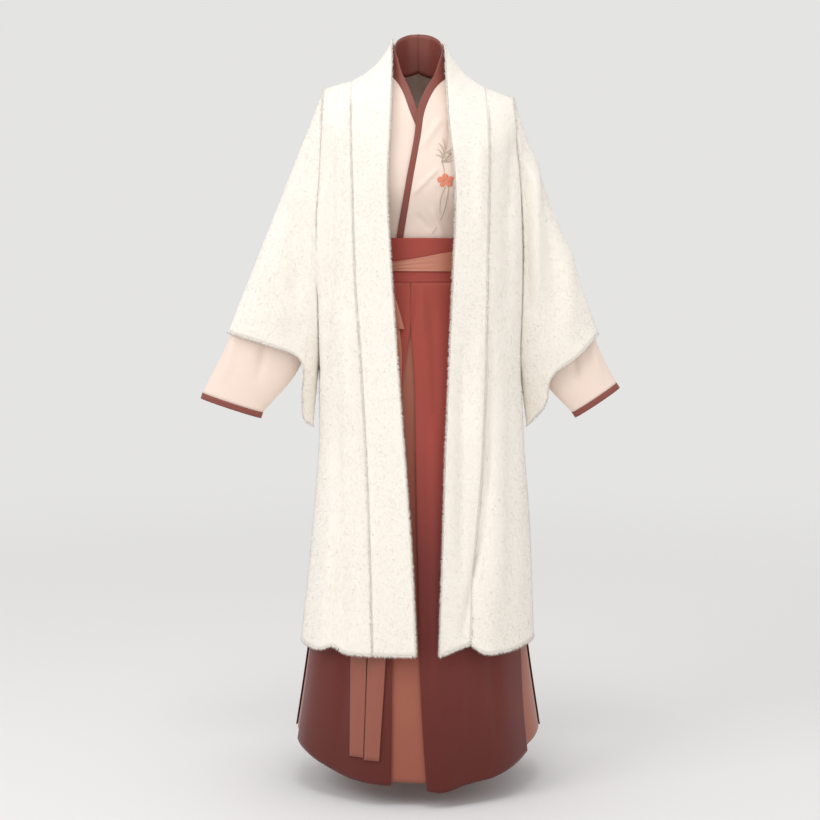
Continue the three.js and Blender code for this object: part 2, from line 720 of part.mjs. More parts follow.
/** Point on the front of the top: the left front lies over the right where they cross. */
function topLayer(side, angle, drop) {
  const point = topPoint(angle, drop);
  const over = side.sign > 0 ? smooth(10, 90, drop) * (1 - smooth(70, 112, point.x)) : 0;
  point.y -= OVERLAP_LIFT * over + (SEAM_GAP / 2) * (1 - smooth(0, 20, drop));
  return point;
}

function topFront(side) {
  return (u, v) => {
    const drop = topDrop(v);
    const inner = angleAt(TOP, topEdge(side, drop), drop);
    const outer = side.sign * (topOuterAngle(drop) - seamAngle);
    return topLayer(side, lerp(inner, outer, u), drop);
  };
}

function topBack(u, v) {
  const across = 2 * u - 1;
  const edgeDrop = topDrop(v);
  const dip = TOP_BACK_NECK * Math.max(0, 1 - (across / TOP_NECK_SHARE) ** 2);
  const drop = edgeDrop + dip * (1 - Math.min(edgeDrop / TOP_ARMHOLE, 1));
  const outer = topOuterAngle(edgeDrop) - seamAngle;
  const share = Math.sin(outer) ** (2 / TOP.squareness);
  const even = Math.asin((Math.abs(across) * share) ** (TOP.squareness / 2));
  const angle = lerp(even, Math.abs(across) * outer, smooth(20, 200, edgeDrop));
  const point = topPoint(Math.PI - Math.sign(across) * angle, drop);
  point.y += (SEAM_GAP / 2) * (1 - smooth(0, 20, drop));
  return point;
}

/** Oval section of a sleeve of the top: q runs down its front and up its back. */
function topSleeveRing(side, q, at) {
  const rows = TOP_SLEEVE[side.name];
  const [upX, upZ, lowX, lowZ, depth] = ['upX', 'upZ', 'lowX', 'lowZ', 'depth']
    .map((column) => read(rows, 'at', column, at));
  const down = (1 - Math.cos(2 * Math.PI * q)) / 2;
  return new THREE.Vector3(
    lerp(upX, lowX, down),
    -depth * Math.sin(2 * Math.PI * q),
    lerp(upZ, lowZ, down),
  );
}

function topSleeve(side) {
  return (u, v) => {
    const q = ((u % 1) + 1) % 1;
    const down = (1 - Math.cos(2 * Math.PI * q)) / 2;
    const drop = TOP_ARMHOLE * down;
    const angle = armholeAngle(TOP, drop);
    const seam = topPoint(side.sign * (q <= 0.5 ? angle : Math.PI - angle), drop);
    const ring = topSleeveRing(side, q, v);
    const shift = seam.sub(topSleeveRing(side, q, 0)).multiplyScalar((1 - v) ** 4);
    ring.add(shift);
    ring.x += side.sign * (SEAM_GAP + ARMHOLE_EASE + UNDERARM_EASE * down ** 3) * (1 - v);
    return ring;
  };
}

/** Cuff band: carries the sleeve's end section on along the sleeve. */
function topCuff(side) {
  const rows = TOP_SLEEVE[side.name];
  const end = rows.at(-1);
  const along = new THREE.Vector3(end.lowZ - end.upZ, 0, end.upX - end.lowX).normalize();
  if (along.z > 0) along.negate();
  return (u, v) => topSleeveRing(side, u, 1).addScaledVector(along, lerp(SEAM_GAP, CUFF_LENGTH, v));
}

/** Collar strip: v runs from the centre back to the shoulder, then down the crossed front. */
const COLLAR_ROWS = TOP_NECK_COLUMNS / 2 + ARMHOLE_ROWS + TOP_LOWER_ROWS;
const collarSplit = TOP_NECK_COLUMNS / 2 / COLLAR_ROWS;

function topCollar(side) {
  const front = topFront(side);
  return (u, v) => {
    const turn = Math.min(v / collarSplit, 1);
    const down = Math.max((v - collarSplit) / (1 - collarSplit), 0);
    const atBack = v < collarSplit;
    const seam = atBack ? topBack(0.5 + side.sign * turn * TOP_NECK_SHARE * 0.5, 0) : front(0, down);
    const drop = topDrop(down);
    const [inward, y, z] = ['inward', 'y', 'z'].map((column) => read(TOP_OPENING, 'drop', column, drop));
    const [neckX, neckY, neckZ] = ['x', 'y', 'z'].map((axis) => read(COLLAR_NECK, 'turn', axis, turn));
    const reach = topEdge(side, drop) - side.sign * inward;
    const edge = atBack
      ? new THREE.Vector3(side.sign * neckX, neckY, neckZ)
      : topLayer(side, angleAt(TOP, reach, drop), drop).add(new THREE.Vector3(0, y, z));
    const width = seam.distanceTo(edge);
    const point = seam.lerp(edge, lerp((SEAM_GAP + NECK_EASE) / width, 1, u));
    if (atBack) point.x += side.sign * (SEAM_GAP / 2) * (1 - turn);
    return point;
  };
}

function addTop() {
  const rows = ARMHOLE_ROWS + TOP_LOWER_ROWS;
  SIDES.forEach((side) => {
    const front = topFront(side);
    const sleeve = topSleeve(side);
    const collar = topCollar(side);
    const collarNormal = (v) => surfaceNormal(collar, 0, v, false);
    const backEdge = side.sign < 0 ? 0 : 1;
    addCloth(`top_front_${side.name}`, BLUSH, SATIN_WALL, front, TOP_FRONT_COLUMNS, rows, {
      rim: (u, v, normal) => {
        if (u === 1 && v < topSplit) return mitre(normal, surfaceNormal(sleeve, v / topSplit / 2, 0, true));
        if (u === 0) return mitre(normal, collarNormal(collarSplit + v * (1 - collarSplit)));
        return null;
      },
    });
    addCloth(`top_sleeve_${side.name}`, BLUSH, SATIN_WALL, sleeve, 2 * ARMHOLE_ROWS, TOP_SLEEVE_ROWS, {
      closed: true,
      rim: (u, v, normal) => {
        if (v > 0) return null;
        if (u <= 0.5) return mitre(normal, surfaceNormal(front, 1, 2 * u * topSplit, false));
        return mitre(normal, surfaceNormal(topBack, backEdge, 2 * (1 - u) * topSplit, false));
      },
    });
    addCloth(`top_cuff_${side.name}`, MAROON, COLLAR_WALL, topCuff(side), 2 * ARMHOLE_ROWS, 1, {
      closed: true,
    });
    addCloth(`top_collar_${side.name}`, MAROON, COLLAR_WALL, collar, COLLAR_COLUMNS, COLLAR_ROWS, {
      rim: (u, v, normal) => {
        if (v === 0) return normal.setX(0).normalize();
        if (u > 0) return null;
        if (v >= collarSplit) {
          return mitre(normal, surfaceNormal(front, 0, (v - collarSplit) / (1 - collarSplit), false));
        }
        const place = 0.5 + side.sign * (v / collarSplit) * TOP_NECK_SHARE * 0.5;
        return mitre(normal, surfaceNormal(topBack, place, 0, false));
      },
    });
  });
  addCloth('top_back', BLUSH, SATIN_WALL, topBack, TOP_BACK_COLUMNS, rows, {
    rim: (u, v, normal) => {
      const side = SIDES[u < 0.5 ? 0 : 1];
      if ((u === 0 || u === 1) && v < topSplit) {
        return mitre(normal, surfaceNormal(topSleeve(side), 1 - v / topSplit / 2, 0, true));
      }
      const reach = Math.abs(2 * u - 1) / TOP_NECK_SHARE;
      if (v > 0 || reach > 1) return null;
      return mitre(normal, surfaceNormal(topCollar(side), 0, reach * collarSplit, false));
    },
  });
}

// ---------------------------------------------------------------------------
// Skirt: waistband, underskirt and overskirt panels
// ---------------------------------------------------------------------------

/** Point of the skirt's form; degrees run from the front to the wearer's left. */
function skirtForm(deg, drop) {
  const angle = radians(deg);
  const turn = ((((deg + 180) % 360) + 360) % 360) - 180;
  const grow = Math.max((drop - WAIST_LOW) / (SKIRT_HEM - WAIST_LOW), 0) ** 1.5;
  const flute = FLUTES.reduce((sum, row) => {
    const apart = Math.min(Math.abs(turn - row.deg), 360 - Math.abs(turn - row.deg));
    return sum + row.out * bump(apart, row.width);
  }, 0);
  const half = read(SKIRT_ROWS_TABLE, 'drop', 'half', drop) + flute * grow;
  const depth = read(SKIRT_ROWS_TABLE, 'drop', 'depth', drop) + flute * grow;
  return new THREE.Vector3(half * Math.sin(angle), -depth * Math.cos(angle), -drop);
}

const skirtAt = (deg, drop, lift) => lifted(skirtForm, lift, deg, drop);

/** Drop of the skirt's hem round the body. */
function skirtHem(deg, extra) {
  const turn = Math.abs(((((deg + 180) % 360) + 360) % 360) - 180);
  const corner = SLIT_CORNER.drop * bump(deg - SLIT_CORNER.deg, SLIT_CORNER.width);
  return read(SKIRT_HEM_TABLE, 'deg', 'drop', turn) + extra * (OVERSKIRT_EXTRA + corner);
}

/** Degrees round the skirt's form at which it is x across, on the front. */
function skirtDegrees(x, drop) {
  return THREE.MathUtils.radToDeg(Math.asin(x / read(SKIRT_ROWS_TABLE, 'drop', 'half', drop)));
}

/** Overskirt's distance off the form, from sewn in at the waist to hanging free. */
function overskirtLift(drop) {
  return lerp(OVERSKIRT_LIFT.waist, OVERSKIRT_LIFT.hem, smooth(WAIST_LOW, 520, drop));
}

/** Skirt panel between two edges given in degrees at each drop. */
function skirtPanel(startAt, endAt, extra, liftAt) {
  return (u, v) => {
    const top = WAIST_LOW + SEAM_GAP;
    const rough = lerp(top, SKIRT_HEM, v);
    const deg = lerp(startAt(rough), endAt(rough), u);
    const drop = lerp(top, skirtHem(deg, extra), v);
    return skirtAt(deg, drop, liftAt(drop));
  };
}

function addSkirt() {
  const seam = SKIRT_SEAM_HALF_DEGREES;
  const waist = (u, v) => skirtAt(360 * u, lerp(WAIST_TOP, WAIST_LOW, v), 0);
  addCloth('skirt_waistband', RUST, 2 * SKIRT_WALL, waist, WAIST_COLUMNS, 1, { closed: true });
  const underLift = () => UNDERSKIRT_LIFT;
  const columns = 180 / SKIRT_STEP;
  const underFront = skirtPanel(() => seam - 90, () => 90 - seam, 0, underLift);
  addCloth('underskirt_front', SALMON, SKIRT_WALL, underFront, columns, SKIRT_ROWS);
  const underBack = skirtPanel(() => 90 + seam, () => 270 - seam, 0, underLift);
  addCloth('underskirt_back', SALMON, SKIRT_WALL, underBack, columns, SKIRT_ROWS);
  const column = (name) => (drop) => read(SLIT, 'drop', name, drop);
  const slitDegrees = (name) => (drop) => skirtDegrees(read(SLIT, 'drop', name, drop), drop);
  const right = skirtPanel(column('rightSide'), slitDegrees('right'), 1, overskirtLift);
  addCloth('overskirt_front_right', RUST, SKIRT_WALL, right, OVERSKIRT_COLUMNS.right, SKIRT_ROWS);
  const left = skirtPanel(slitDegrees('left'), column('leftSide'), 1, overskirtLift);
  addCloth('overskirt_front_left', RUST, SKIRT_WALL, left, OVERSKIRT_COLUMNS.left, SKIRT_ROWS);
  const backSide = column('backSide');
  const back = skirtPanel(backSide, (drop) => 360 - backSide(drop), 1, overskirtLift);
  addCloth('overskirt_back', RUST, SKIRT_WALL, back, columns, SKIRT_ROWS);
}

// ---------------------------------------------------------------------------
// Ribbon belt: the turn round the waist, its knot and three hanging ends
// ---------------------------------------------------------------------------

function addBelt() {
  const wrap = (u, v) => {
    const deg = 360 * (((u % 1) + 1) % 1) - 180;
    const drop = lerp(read(BELT, 'deg', 'top', deg), read(BELT, 'deg', 'low', deg), v);
    return skirtAt(deg, drop, BELT_LIFT);
  };
  addCloth('belt_wrap', SALMON, RIBBON_WALL, wrap, WAIST_COLUMNS, RIBBON_COLUMNS, { closed: true });
  const knotCentre = skirtAt(skirtDegrees(KNOT.x, KNOT.drop), KNOT.drop, KNOT.lift);
  const points = [];
  const { round, high } = KNOT_SEGMENTS;
  for (let j = 1; j < high; j += 1) {
    for (let i = 0; i < round; i += 1) {
      const turn = (2 * Math.PI * i) / round;
      const climb = (Math.PI * j) / high;
      points.push(new THREE.Vector3(
        KNOT.width * Math.sin(climb) * Math.cos(turn),
        KNOT.depth * Math.sin(climb) * Math.sin(turn),
        KNOT.height * Math.cos(climb),
      ).add(knotCentre));
    }
  }
  const top = points.push(knotCentre.clone().add(new THREE.Vector3(0, 0, KNOT.height))) - 1;
  const low = points.push(knotCentre.clone().sub(new THREE.Vector3(0, 0, KNOT.height))) - 1;
  const faces = [];
  for (let i = 0; i < round; i += 1) {
    const next = (i + 1) % round;
    const lastRow = (high - 2) * round;
    faces.push(top, i, next, low, lastRow + next, lastRow + i);
    for (let j = 0; j < high - 2; j += 1) {
      const [a, b] = [j * round + i, j * round + next];
      faces.push(a, a + round, b, b, a + round, b + round);
    }
  }
  addBody('belt_knot', SALMON, points, faces);
  Object.entries(TAILS).forEach(([name, rows]) => {
    const start = rows[0].drop;
    const end = rows.at(-1).drop;
    const tail = (u, v) => {
      const drop = lerp(start, end, v);
      const middle = read(rows, 'drop', 'x', drop);
      const x = middle + (u - 0.5) * read(rows, 'drop', 'width', drop);
      return skirtAt(skirtDegrees(x, drop), drop, read(rows, 'drop', 'lift', drop));
    };
    addCloth(name, SALMON, RIBBON_WALL, tail, RIBBON_COLUMNS, Math.ceil((end - start) / TAIL_STEP));
  });
}

addCoat();
addTop();
addSkirt();
addBelt();

export default garment;
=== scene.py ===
import math

import bpy
import numpy as np
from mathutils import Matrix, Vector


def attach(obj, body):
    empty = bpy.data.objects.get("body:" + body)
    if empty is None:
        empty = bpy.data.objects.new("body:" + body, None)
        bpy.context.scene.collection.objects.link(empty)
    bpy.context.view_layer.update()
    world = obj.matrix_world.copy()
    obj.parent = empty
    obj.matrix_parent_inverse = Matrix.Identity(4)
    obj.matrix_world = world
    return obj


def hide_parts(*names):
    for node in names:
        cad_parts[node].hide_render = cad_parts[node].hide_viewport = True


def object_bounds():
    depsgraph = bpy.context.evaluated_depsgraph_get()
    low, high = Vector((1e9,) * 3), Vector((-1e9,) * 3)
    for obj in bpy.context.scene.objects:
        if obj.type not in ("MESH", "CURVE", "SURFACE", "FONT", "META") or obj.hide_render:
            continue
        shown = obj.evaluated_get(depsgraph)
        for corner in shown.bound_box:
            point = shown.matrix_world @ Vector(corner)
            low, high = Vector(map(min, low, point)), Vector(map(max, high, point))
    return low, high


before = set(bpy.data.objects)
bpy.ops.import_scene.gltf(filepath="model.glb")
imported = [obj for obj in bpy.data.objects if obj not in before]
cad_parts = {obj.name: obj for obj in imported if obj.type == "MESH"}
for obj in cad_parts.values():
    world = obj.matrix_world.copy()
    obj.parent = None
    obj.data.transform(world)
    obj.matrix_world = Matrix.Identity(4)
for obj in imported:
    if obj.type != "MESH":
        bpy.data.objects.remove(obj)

# Hanfu set, filled out as if worn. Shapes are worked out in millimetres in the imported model's
# frame (+Z up, front towards -Y, the wearer's left at +X) and put into meshes in metres.
CAD_BOX = [list(corner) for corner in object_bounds()]
MM = 0.001

# ---------------------------------------------------------------------------
# Studio: a level pale floor that fades into a pale room on every side, soft lights and the
# camera, which stands straight ahead at waist height and looks slightly down.
# ---------------------------------------------------------------------------
CAMERA_PLACE = (-0.015, -3.1, -0.36)
CAMERA_PITCH = math.atan2(140, 1703)
CAMERA_LENS = 74.77
PALE = (0.84, 0.835, 0.83, 1)
ROOM_LIGHT = 0.78
FLOOR_GAP = 0.03
FLOOR_REACH = 60
FADE = (1.1, 4.5)
LIGHTS = {
    "key": {"place": (-2.3, -2.0, 1.5), "size": 1.8, "watts": 31},
    "fill": {"place": (1.9, -2.4, 0.3), "size": 2.2, "watts": 5},
    "top": {"place": (0, -1.5, 2.1), "size": 0.9, "watts": 16},
}


def grid_faces(columns, rows, closed=False):
    """Quads of a grid of points held row by row; a closed grid joins its last column to its first."""
    wide = columns if closed else columns + 1
    j, i = np.meshgrid(np.arange(rows), np.arange(columns), indexing="ij")
    ahead = (i + 1) % wide
    low, high = j * wide, (j + 1) * wide
    return np.stack([low + i, low + ahead, high + ahead, high + i], -1).reshape(-1, 4)


def new_object(name, points, faces, material):
    """Mesh object at the origin from arrays of points in metres and faces, smooth shaded."""
    mesh = bpy.data.meshes.new(name)
    mesh.from_pydata(points.reshape(-1, 3).tolist(), [], faces.tolist())
    mesh.polygons.foreach_set("use_smooth", np.ones(len(faces), bool))
    mesh.materials.append(material)
    thing = bpy.data.objects.new(name, mesh)
    bpy.context.scene.collection.objects.link(thing)
    return thing


def plain_material(name, roughness):
    """A new node material, and its Principled shader with one roughness."""
    material = bpy.data.materials.new(name)
    material.use_nodes = True
    shader = material.node_tree.nodes["Principled BSDF"]
    shader.inputs["Roughness"].default_value = roughness
    return material, shader


floor_paper, floor_shader = plain_material("floor_paper", 0.9)
floor_shader.inputs["Base Color"].default_value = PALE
nodes, links = floor_paper.node_tree.nodes, floor_paper.node_tree.links
place = nodes.new("ShaderNodeTexCoord")
reach = nodes.new("ShaderNodeSeparateXYZ")
flat = nodes.new("ShaderNodeCombineXYZ")
away = nodes.new("ShaderNodeVectorMath")
away.operation = "LENGTH"
fade = nodes.new("ShaderNodeMapRange")
fade.interpolation_type = "SMOOTHSTEP"
fade.inputs["From Min"].default_value, fade.inputs["From Max"].default_value = FADE
glow = nodes.new("ShaderNodeEmission")
glow.inputs["Color"].default_value = (1, 0.995, 0.985, 1)
glow.inputs["Strength"].default_value = ROOM_LIGHT
blend = nodes.new("ShaderNodeMixShader")
links.new(place.outputs["Object"], reach.inputs[0])
links.new(reach.outputs["X"], flat.inputs["X"])
links.new(reach.outputs["Y"], flat.inputs["Y"])
links.new(flat.outputs[0], away.inputs[0])
links.new(away.outputs["Value"], fade.inputs["Value"])
links.new(fade.outputs["Result"], blend.inputs[0])
links.new(floor_shader.outputs[0], blend.inputs[1])
links.new(glow.outputs[0], blend.inputs[2])
links.new(blend.outputs[0], nodes["Material Output"].inputs["Surface"])
floor_steps = np.linspace(-FLOOR_REACH, FLOOR_REACH, 3)
across, along = np.meshgrid(floor_steps, floor_steps)
level = np.stack([across, along, np.full_like(across, CAD_BOX[0][2] - FLOOR_GAP)], -1)
new_object("studio_floor", level, grid_faces(2, 2), floor_paper)

for name, row in LIGHTS.items():
    lamp = bpy.data.lights.new(name, "AREA")
    lamp.energy = row["watts"]
    lamp.size = row["size"]
    holder = bpy.data.objects.new(name, lamp)
    holder.location = row["place"]
    towards = np.array([0, 0, -0.55]) - np.array(row["place"])
    flat_reach = math.hypot(towards[0], towards[1])
    holder.rotation_euler = (math.atan2(flat_reach, -towards[2]), 0, math.atan2(-towards[0], towards[1]))
    bpy.context.scene.collection.objects.link(holder)
world = bpy.data.worlds.new("soft_room")
world.use_nodes = True
world.node_tree.nodes["Background"].inputs["Color"].default_value = (1, 0.995, 0.985, 1)
world.node_tree.nodes["Background"].inputs["Strength"].default_value = ROOM_LIGHT
bpy.context.scene.world = world
bpy.context.scene.view_settings.view_transform = "Standard"

camera = bpy.data.objects.new("camera", bpy.data.cameras.new("camera"))
camera.data.lens = CAMERA_LENS
camera.location = CAMERA_PLACE
camera.rotation_euler = (math.pi / 2 - CAMERA_PITCH, 0, 0)
bpy.context.scene.collection.objects.link(camera)
bpy.context.scene.camera = camera

# ---------------------------------------------------------------------------
# Coat: brushed knit with a short cream pile. Two fronts, a back and two wide sleeves are sewn
# with straight dropped armholes, and one long doubled band runs from hem to hem round the neck.
# ---------------------------------------------------------------------------
SEAM_GAP = 0.1
SIDE_REACH = 190
SLEEVE_CLEARANCE = (0.5, 3.8)
HEM_LIFT_START = 760
BAND_SAG_FALL = -0.9
COAT_BACK_SPREAD = (40, 300)
KNIT_WALL = 2.4
KNIT_FOLD_DEPTH = 1.7
COAT_HEM = 1029
COAT_ARMHOLE = 540
COAT_BACK_NECK = 58
COAT_SPLIT = 8 / 14
BACK_NECK_SHARE = 5 / 7
BAND_SPLIT = 5 / 19
SIDES = {"right": -1, "left": 1}
PILE_PER_M2 = 84000
EDGE_PER_MM = 2.6
PILE_LENGTH = (1.8, 3.8)
PILE_ROOT = 0.6
PILE_SINK = 0.35
PILE_LEAN = {"off": 0.55, "stray": 0.5, "down": -0.5, "edge": 1.5}
PILE_CORNERS = (0, 2.0944, 4.1888)
EDGE_LENGTHENING = 0.8


def table(names, *rows):
    """Table with named columns: each name gives the array of that column."""
    return dict(zip(names.split(), np.array(rows, float).T))


COAT = {
    "squareness": 2.4, "front_round": 240, "back_round": 110, "tip_round": 62,
    "shoulder": {"height": -28, "slope": 0.34, "neck_slope": 0.5, "tilt": 0.05, "bend": 117},
    "rows": table(
        "drop half shift front back",
        (0, 182, 0, 122, 110), (270, 195, 4, 127, 120), (540, 181, 2, 138, 140), (660, 183, 5, 149, 153),
        (760, 191, 6, 158, 163), (850, 198, 5, 167, 173), (1030, 211, -1, 186, 192)),
    "armhole": table("drop share", (0, 0.92), (250, 0.93), (400, 0.965), (500, 0.99), (540, 1)),
    "folds": table(
        "top low start end width out",
        (-150, -176, 120, 640, 13, -7), (152, 150, 120, 640, 13, -7), (-104, -148, 640, 1040, 17, -8),
        (118, 86, 640, 1040, 15, -9), (-128, -182, 560, 1040, 14, 5), (138, 128, 560, 1040, 14, 5)),
    "back_folds": table(
        "top low start end width out",
        (-120, -150, 120, 1040, 20, -8), (-60, -84, 260, 1040, 22, 7), (0, 6, 200, 1040, 22, -7),
        (62, 90, 260, 1040, 22, 7), (122, 152, 120, 1040, 20, -8)),
}
COAT_OPENING = table(
    "drop right_edge right_seam left_edge left_seam",
    (0, -47, -119.6, 47, 119.6), (100, -50, -117, 54, 122), (220, -55, -114, 65, 121),
    (380, -47, -109, 60, 119), (540, -36, -99, 53, 116), (700, -24, -90, 47, 109),
    (860, -13, -84, 42, 98), (1035, -5, -79, 36, 89))
BAND_LIFT = table("drop y z", (0, 4, 40), (20, 10, 24), (45, 3, 10), (100, 0, 0))
BAND_NECK = table(
    "turn x y z sag",
    (0, 0, 72, 40, 3), (0.35, 24, 67, 42, 5), (0.7, 41, 42, 45, 7), (1, 47, 4, 45.6, 10))
COAT_HEM_LIFTS = table("x width lift", (-152, 15, 9), (86, 20, 18), (205, 30, 6))
COAT_SLEEVE_HEM = {
    "right": table("share x z", (0, -344, -471), (0.25, -276, -491), (0.5, -213, -519),
                   (0.75, -211, -582), (0.9, -209, -626), (1, -193, -641)),
    "left": table("share x z", (0, 325, -473), (0.25, 287, -513), (0.5, 241, -550),
                  (0.75, 231, -600), (1, 199, -641)),
}
COAT_SLEEVE_DEPTH = 50
COAT_SLEEVE_NARROWING = 0.6

# Creases of the coat in front view, from one end to the other; face -1 is the front, 1 the back
COAT_CREASES = table(
    "x0 z0 x1 z1 width out face",
    (-152, -120, -166, -470, 9, -4.5, -1), (-122, -60, -126, -190, 8, -3.5, -1),
    (-126, -190, -158, -430, 14, -5, -1), (-158, -430, -170, -560, 12, -3, -1),
    (-182, -210, -178, -400, 9, 3.5, -1), (-228, -240, -214, -420, 15, -4, -1),
    (-262, -330, -236, -470, 16, 3.5, -1), (-106, -430, -86, -960, 9, -3, -1),
    (-146, -600, -140, -1010, 12, -5, -1), (-130, -440, -118, -640, 14, 3.5, -1),
    (106, -120, 108, -300, 12, 3, -1), (168, -120, 158, -300, 10, -4, -1),
    (158, -300, 164, -420, 10, -3, -1), (188, -130, 200, -440, 9, -5, -1),
    (208, -150, 214, -420, 10, 3.5, -1), (226, -180, 248, -470, 14, -4.5, -1),
    (268, -300, 272, -480, 15, 3.5, -1), (76, -500, 76, -890, 10, -3.5, -1),
    (108, -470, 104, -800, 11, 3, -1), (128, -470, 118, -780, 6, -3.5, -1),
    (118, -780, 76, -1000, 6, -3.5, -1), (146, -470, 142, -980, 12, 3.5, -1),
    (178, -520, 176, -990, 12, 2.5, -1), (-40, -120, -70, -520, 18, -3.5, 1),
    (54, -90, 84, -560, 18, -3.5, 1), (-110, -480, -120, -1010, 17, 4, 1), (10, -420, 18, -1010, 20, 4, 1),
    (120, -500, 132, -1010, 17, 4, 1), (-218, -220, -236, -470, 16, -4, 1),
    (214, -200, 240, -470, 16, -4, 1))


def read(rows, key, column, at):
    """Value of a column at a place along the key column, on a smooth cubic through the rows."""
    k, c = rows[key], rows[column]
    last = len(k) - 1
    at = np.clip(at, k[0], k[-1])
    i = np.clip(np.searchsorted(k, at) - 1, 0, last - 1)
    before = np.maximum(np.arange(last + 1) - 1, 0)
    after = np.minimum(np.arange(last + 1) + 1, last)
    slope = (c[after] - c[before]) / (k[after] - k[before])
    step = k[i + 1] - k[i]
    t = (at - k[i]) / step
    a, b = c[i], c[i + 1]
    start, end = slope[i] * step, slope[i + 1] * step
    return a + t * (start + t * (3 * (b - a) - 2 * start - end + t * (2 * (a - b) + start + end)))


def smooth(a, b, at):
    """0 before a and 1 after b, with the cubic 3t^2 - 2t^3 between."""
    t = np.clip((at - a) / (b - a), 0, 1)
    return t * t * (3 - 2 * t)


def bump(distance, width):
    """Soft bump exp(-(distance / width)^2)."""
    return np.exp(-((distance / width) ** 2))


def lerp(a, b, t):
    """Straight line from a to b."""
    return a + (b - a) * t


def joined(x, y, z):
    """Points from three coordinate arrays of any matching shapes."""
    return np.stack(np.broadcast_arrays(x, y, z), -1).astype(float)


def shoulder_height(shoulder, x):
    """Shoulder line: two slopes from the neck outwards, and a slight tilt to one side."""
    past = np.abs(x) - shoulder["bend"]
    slope = np.where(past > 0, shoulder["slope"], shoulder["neck_slope"])
    return shoulder["height"] - slope * past - shoulder["tilt"] * x


def fold_push(folds, x, drop):
    """Sum of long vertical folds, each a bump across that wanders from top to low."""
    total = np.zeros(np.broadcast(x, drop).shape)
    for top, low, start, end, width, out in zip(*folds.values()):
        along = (drop - start) / (end - start)
        ease = smooth(0, 0.3, along) * (1 - smooth(0.9, 1.5, along))
        total += out * ease * bump(x - lerp(top, low, along), width)
    return total


def form_point(form, angle, drop):
    """Superellipse |x/a|^n + |y/b|^n = 1 at each drop, with its depth rounded over at the shoulder."""
    angle, drop = np.broadcast_arrays(np.asarray(angle, float), np.asarray(drop, float))
    side, ahead = np.sin(angle), np.cos(angle)
    power = 2 / form["squareness"]
    half = read(form["rows"], "drop", "half", drop)
    x = read(form["rows"], "drop", "shift", drop) + half * np.sign(side) * np.abs(side) ** power
    facing = ahead >= 0
    edge = np.minimum(np.abs(x) / half, 1) ** 1.5
    radius = lerp(np.where(facing, form["front_round"], form["back_round"]), form["tip_round"], edge)
    rise = np.sqrt(1 - (1 - np.minimum(drop / radius, 1)) ** 2)
    front = read(form["rows"], "drop", "front", drop) + fold_push(form["folds"], x, drop)
    back = read(form["rows"], "drop", "back", drop) + fold_push(form["back_folds"], x, drop)
    depth = np.where(facing, front, back)
    y = -np.sign(ahead) * depth * rise * np.abs(ahead) ** power
    return joined(x, y, -drop + shoulder_height(form["shoulder"], x) * (1 - smooth(0, 300, drop)))


def angle_at(form, x, drop):
    """Angle from the front at which a form is x across."""
    share = (x - read(form["rows"], "drop", "shift", drop)) / read(form["rows"], "drop", "half", drop)
    return np.sign(share) * np.arcsin(np.minimum(np.abs(share), 1) ** (form["squareness"] / 2))


def armhole_angle(form, drop):
    """Angle of the armhole seam, which closes into the side seam at the underarm."""
    return np.arcsin(np.minimum(read(form["armhole"], "drop", "share", drop), 1) ** (form["squareness"] / 2))


def drop_at(armhole, hem, split, v):
    """Drop at v: a half cosine over the armhole, then a straight run to the hem."""
    upper = armhole * (1 - np.cos(np.pi * np.minimum(v, split) / split)) / 2
    return np.where(v <= split, upper, lerp(armhole, hem, (v - split) / (1 - split)))


def coat_drop(v):
    """Drop of the coat's rows."""
    return drop_at(COAT_ARMHOLE, COAT_HEM, COAT_SPLIT, v)


def coat_point(angle, drop):
    """Coat's form, with the front hem drawn up where it is gathered."""
    point = form_point(COAT, angle, drop)
    rows = zip(COAT_HEM_LIFTS["x"], COAT_HEM_LIFTS["width"], COAT_HEM_LIFTS["lift"])
    lift = sum(height * bump(point[..., 0] - x, width) for x, width, height in rows)
    point[..., 2] += np.where(np.cos(angle) > 0, lift * smooth(HEM_LIFT_START, COAT_HEM, drop), 0)
    return point


def coat_outer(drop):
    """Outer edge of a coat panel: the armhole, then the side seam."""
    return np.where(drop < COAT_ARMHOLE, armhole_angle(COAT, drop), np.pi / 2) - SEAM_GAP / (2 * SIDE_REACH)


def coat_front(side):
    """Front panel: the coat's form from the band's seam to the outer edge."""
    def surface(u, v):
        """From the band's seam at u = 0 to the outer edge at u = 1."""
        drop = coat_drop(v)
        inner = angle_at(COAT, read(COAT_OPENING, "drop", side + "_seam", drop), drop)
        point = coat_point(lerp(inner, SIDES[side] * coat_outer(drop), u), drop)
        point[..., 1] -= SEAM_GAP / 2 * (1 - smooth(0, 20, drop))
        return point
    return surface


def back_point(form, u, edge_drop, armhole, dip, neck_share, outer, spread, place):
    """Back of a form from side to side, its top row dipping as a parabola at the neck."""
    across = 2 * u - 1
    low = dip * np.maximum(0, 1 - (across / neck_share) ** 2)
    drop = edge_drop + low * (1 - np.minimum(edge_drop / armhole, 1))
    share = np.sin(outer) ** (2 / form["squareness"])
    even = np.arcsin((np.abs(across) * share) ** (form["squareness"] / 2))
    angle = lerp(even, np.abs(across) * outer, smooth(*spread, edge_drop))
    point = place(np.pi - np.sign(across) * angle, drop)
    point[..., 1] += SEAM_GAP / 2 * (1 - smooth(0, 20, drop))
    return point


def coat_back(u, v):
    """Back panel from the wearer's right to left."""
    drop = coat_drop(v)
    return back_point(COAT, u, drop, COAT_ARMHOLE, COAT_BACK_NECK, BACK_NECK_SHARE, coat_outer(drop),
                      COAT_BACK_SPREAD, coat_point)


def sleeve_clearance(down):
    """Room between a sleeve and the body at the armhole, growing as the cube towards the underarm."""
    return SEAM_GAP + SLEEVE_CLEARANCE[0] + SLEEVE_CLEARANCE[1] * down ** 3


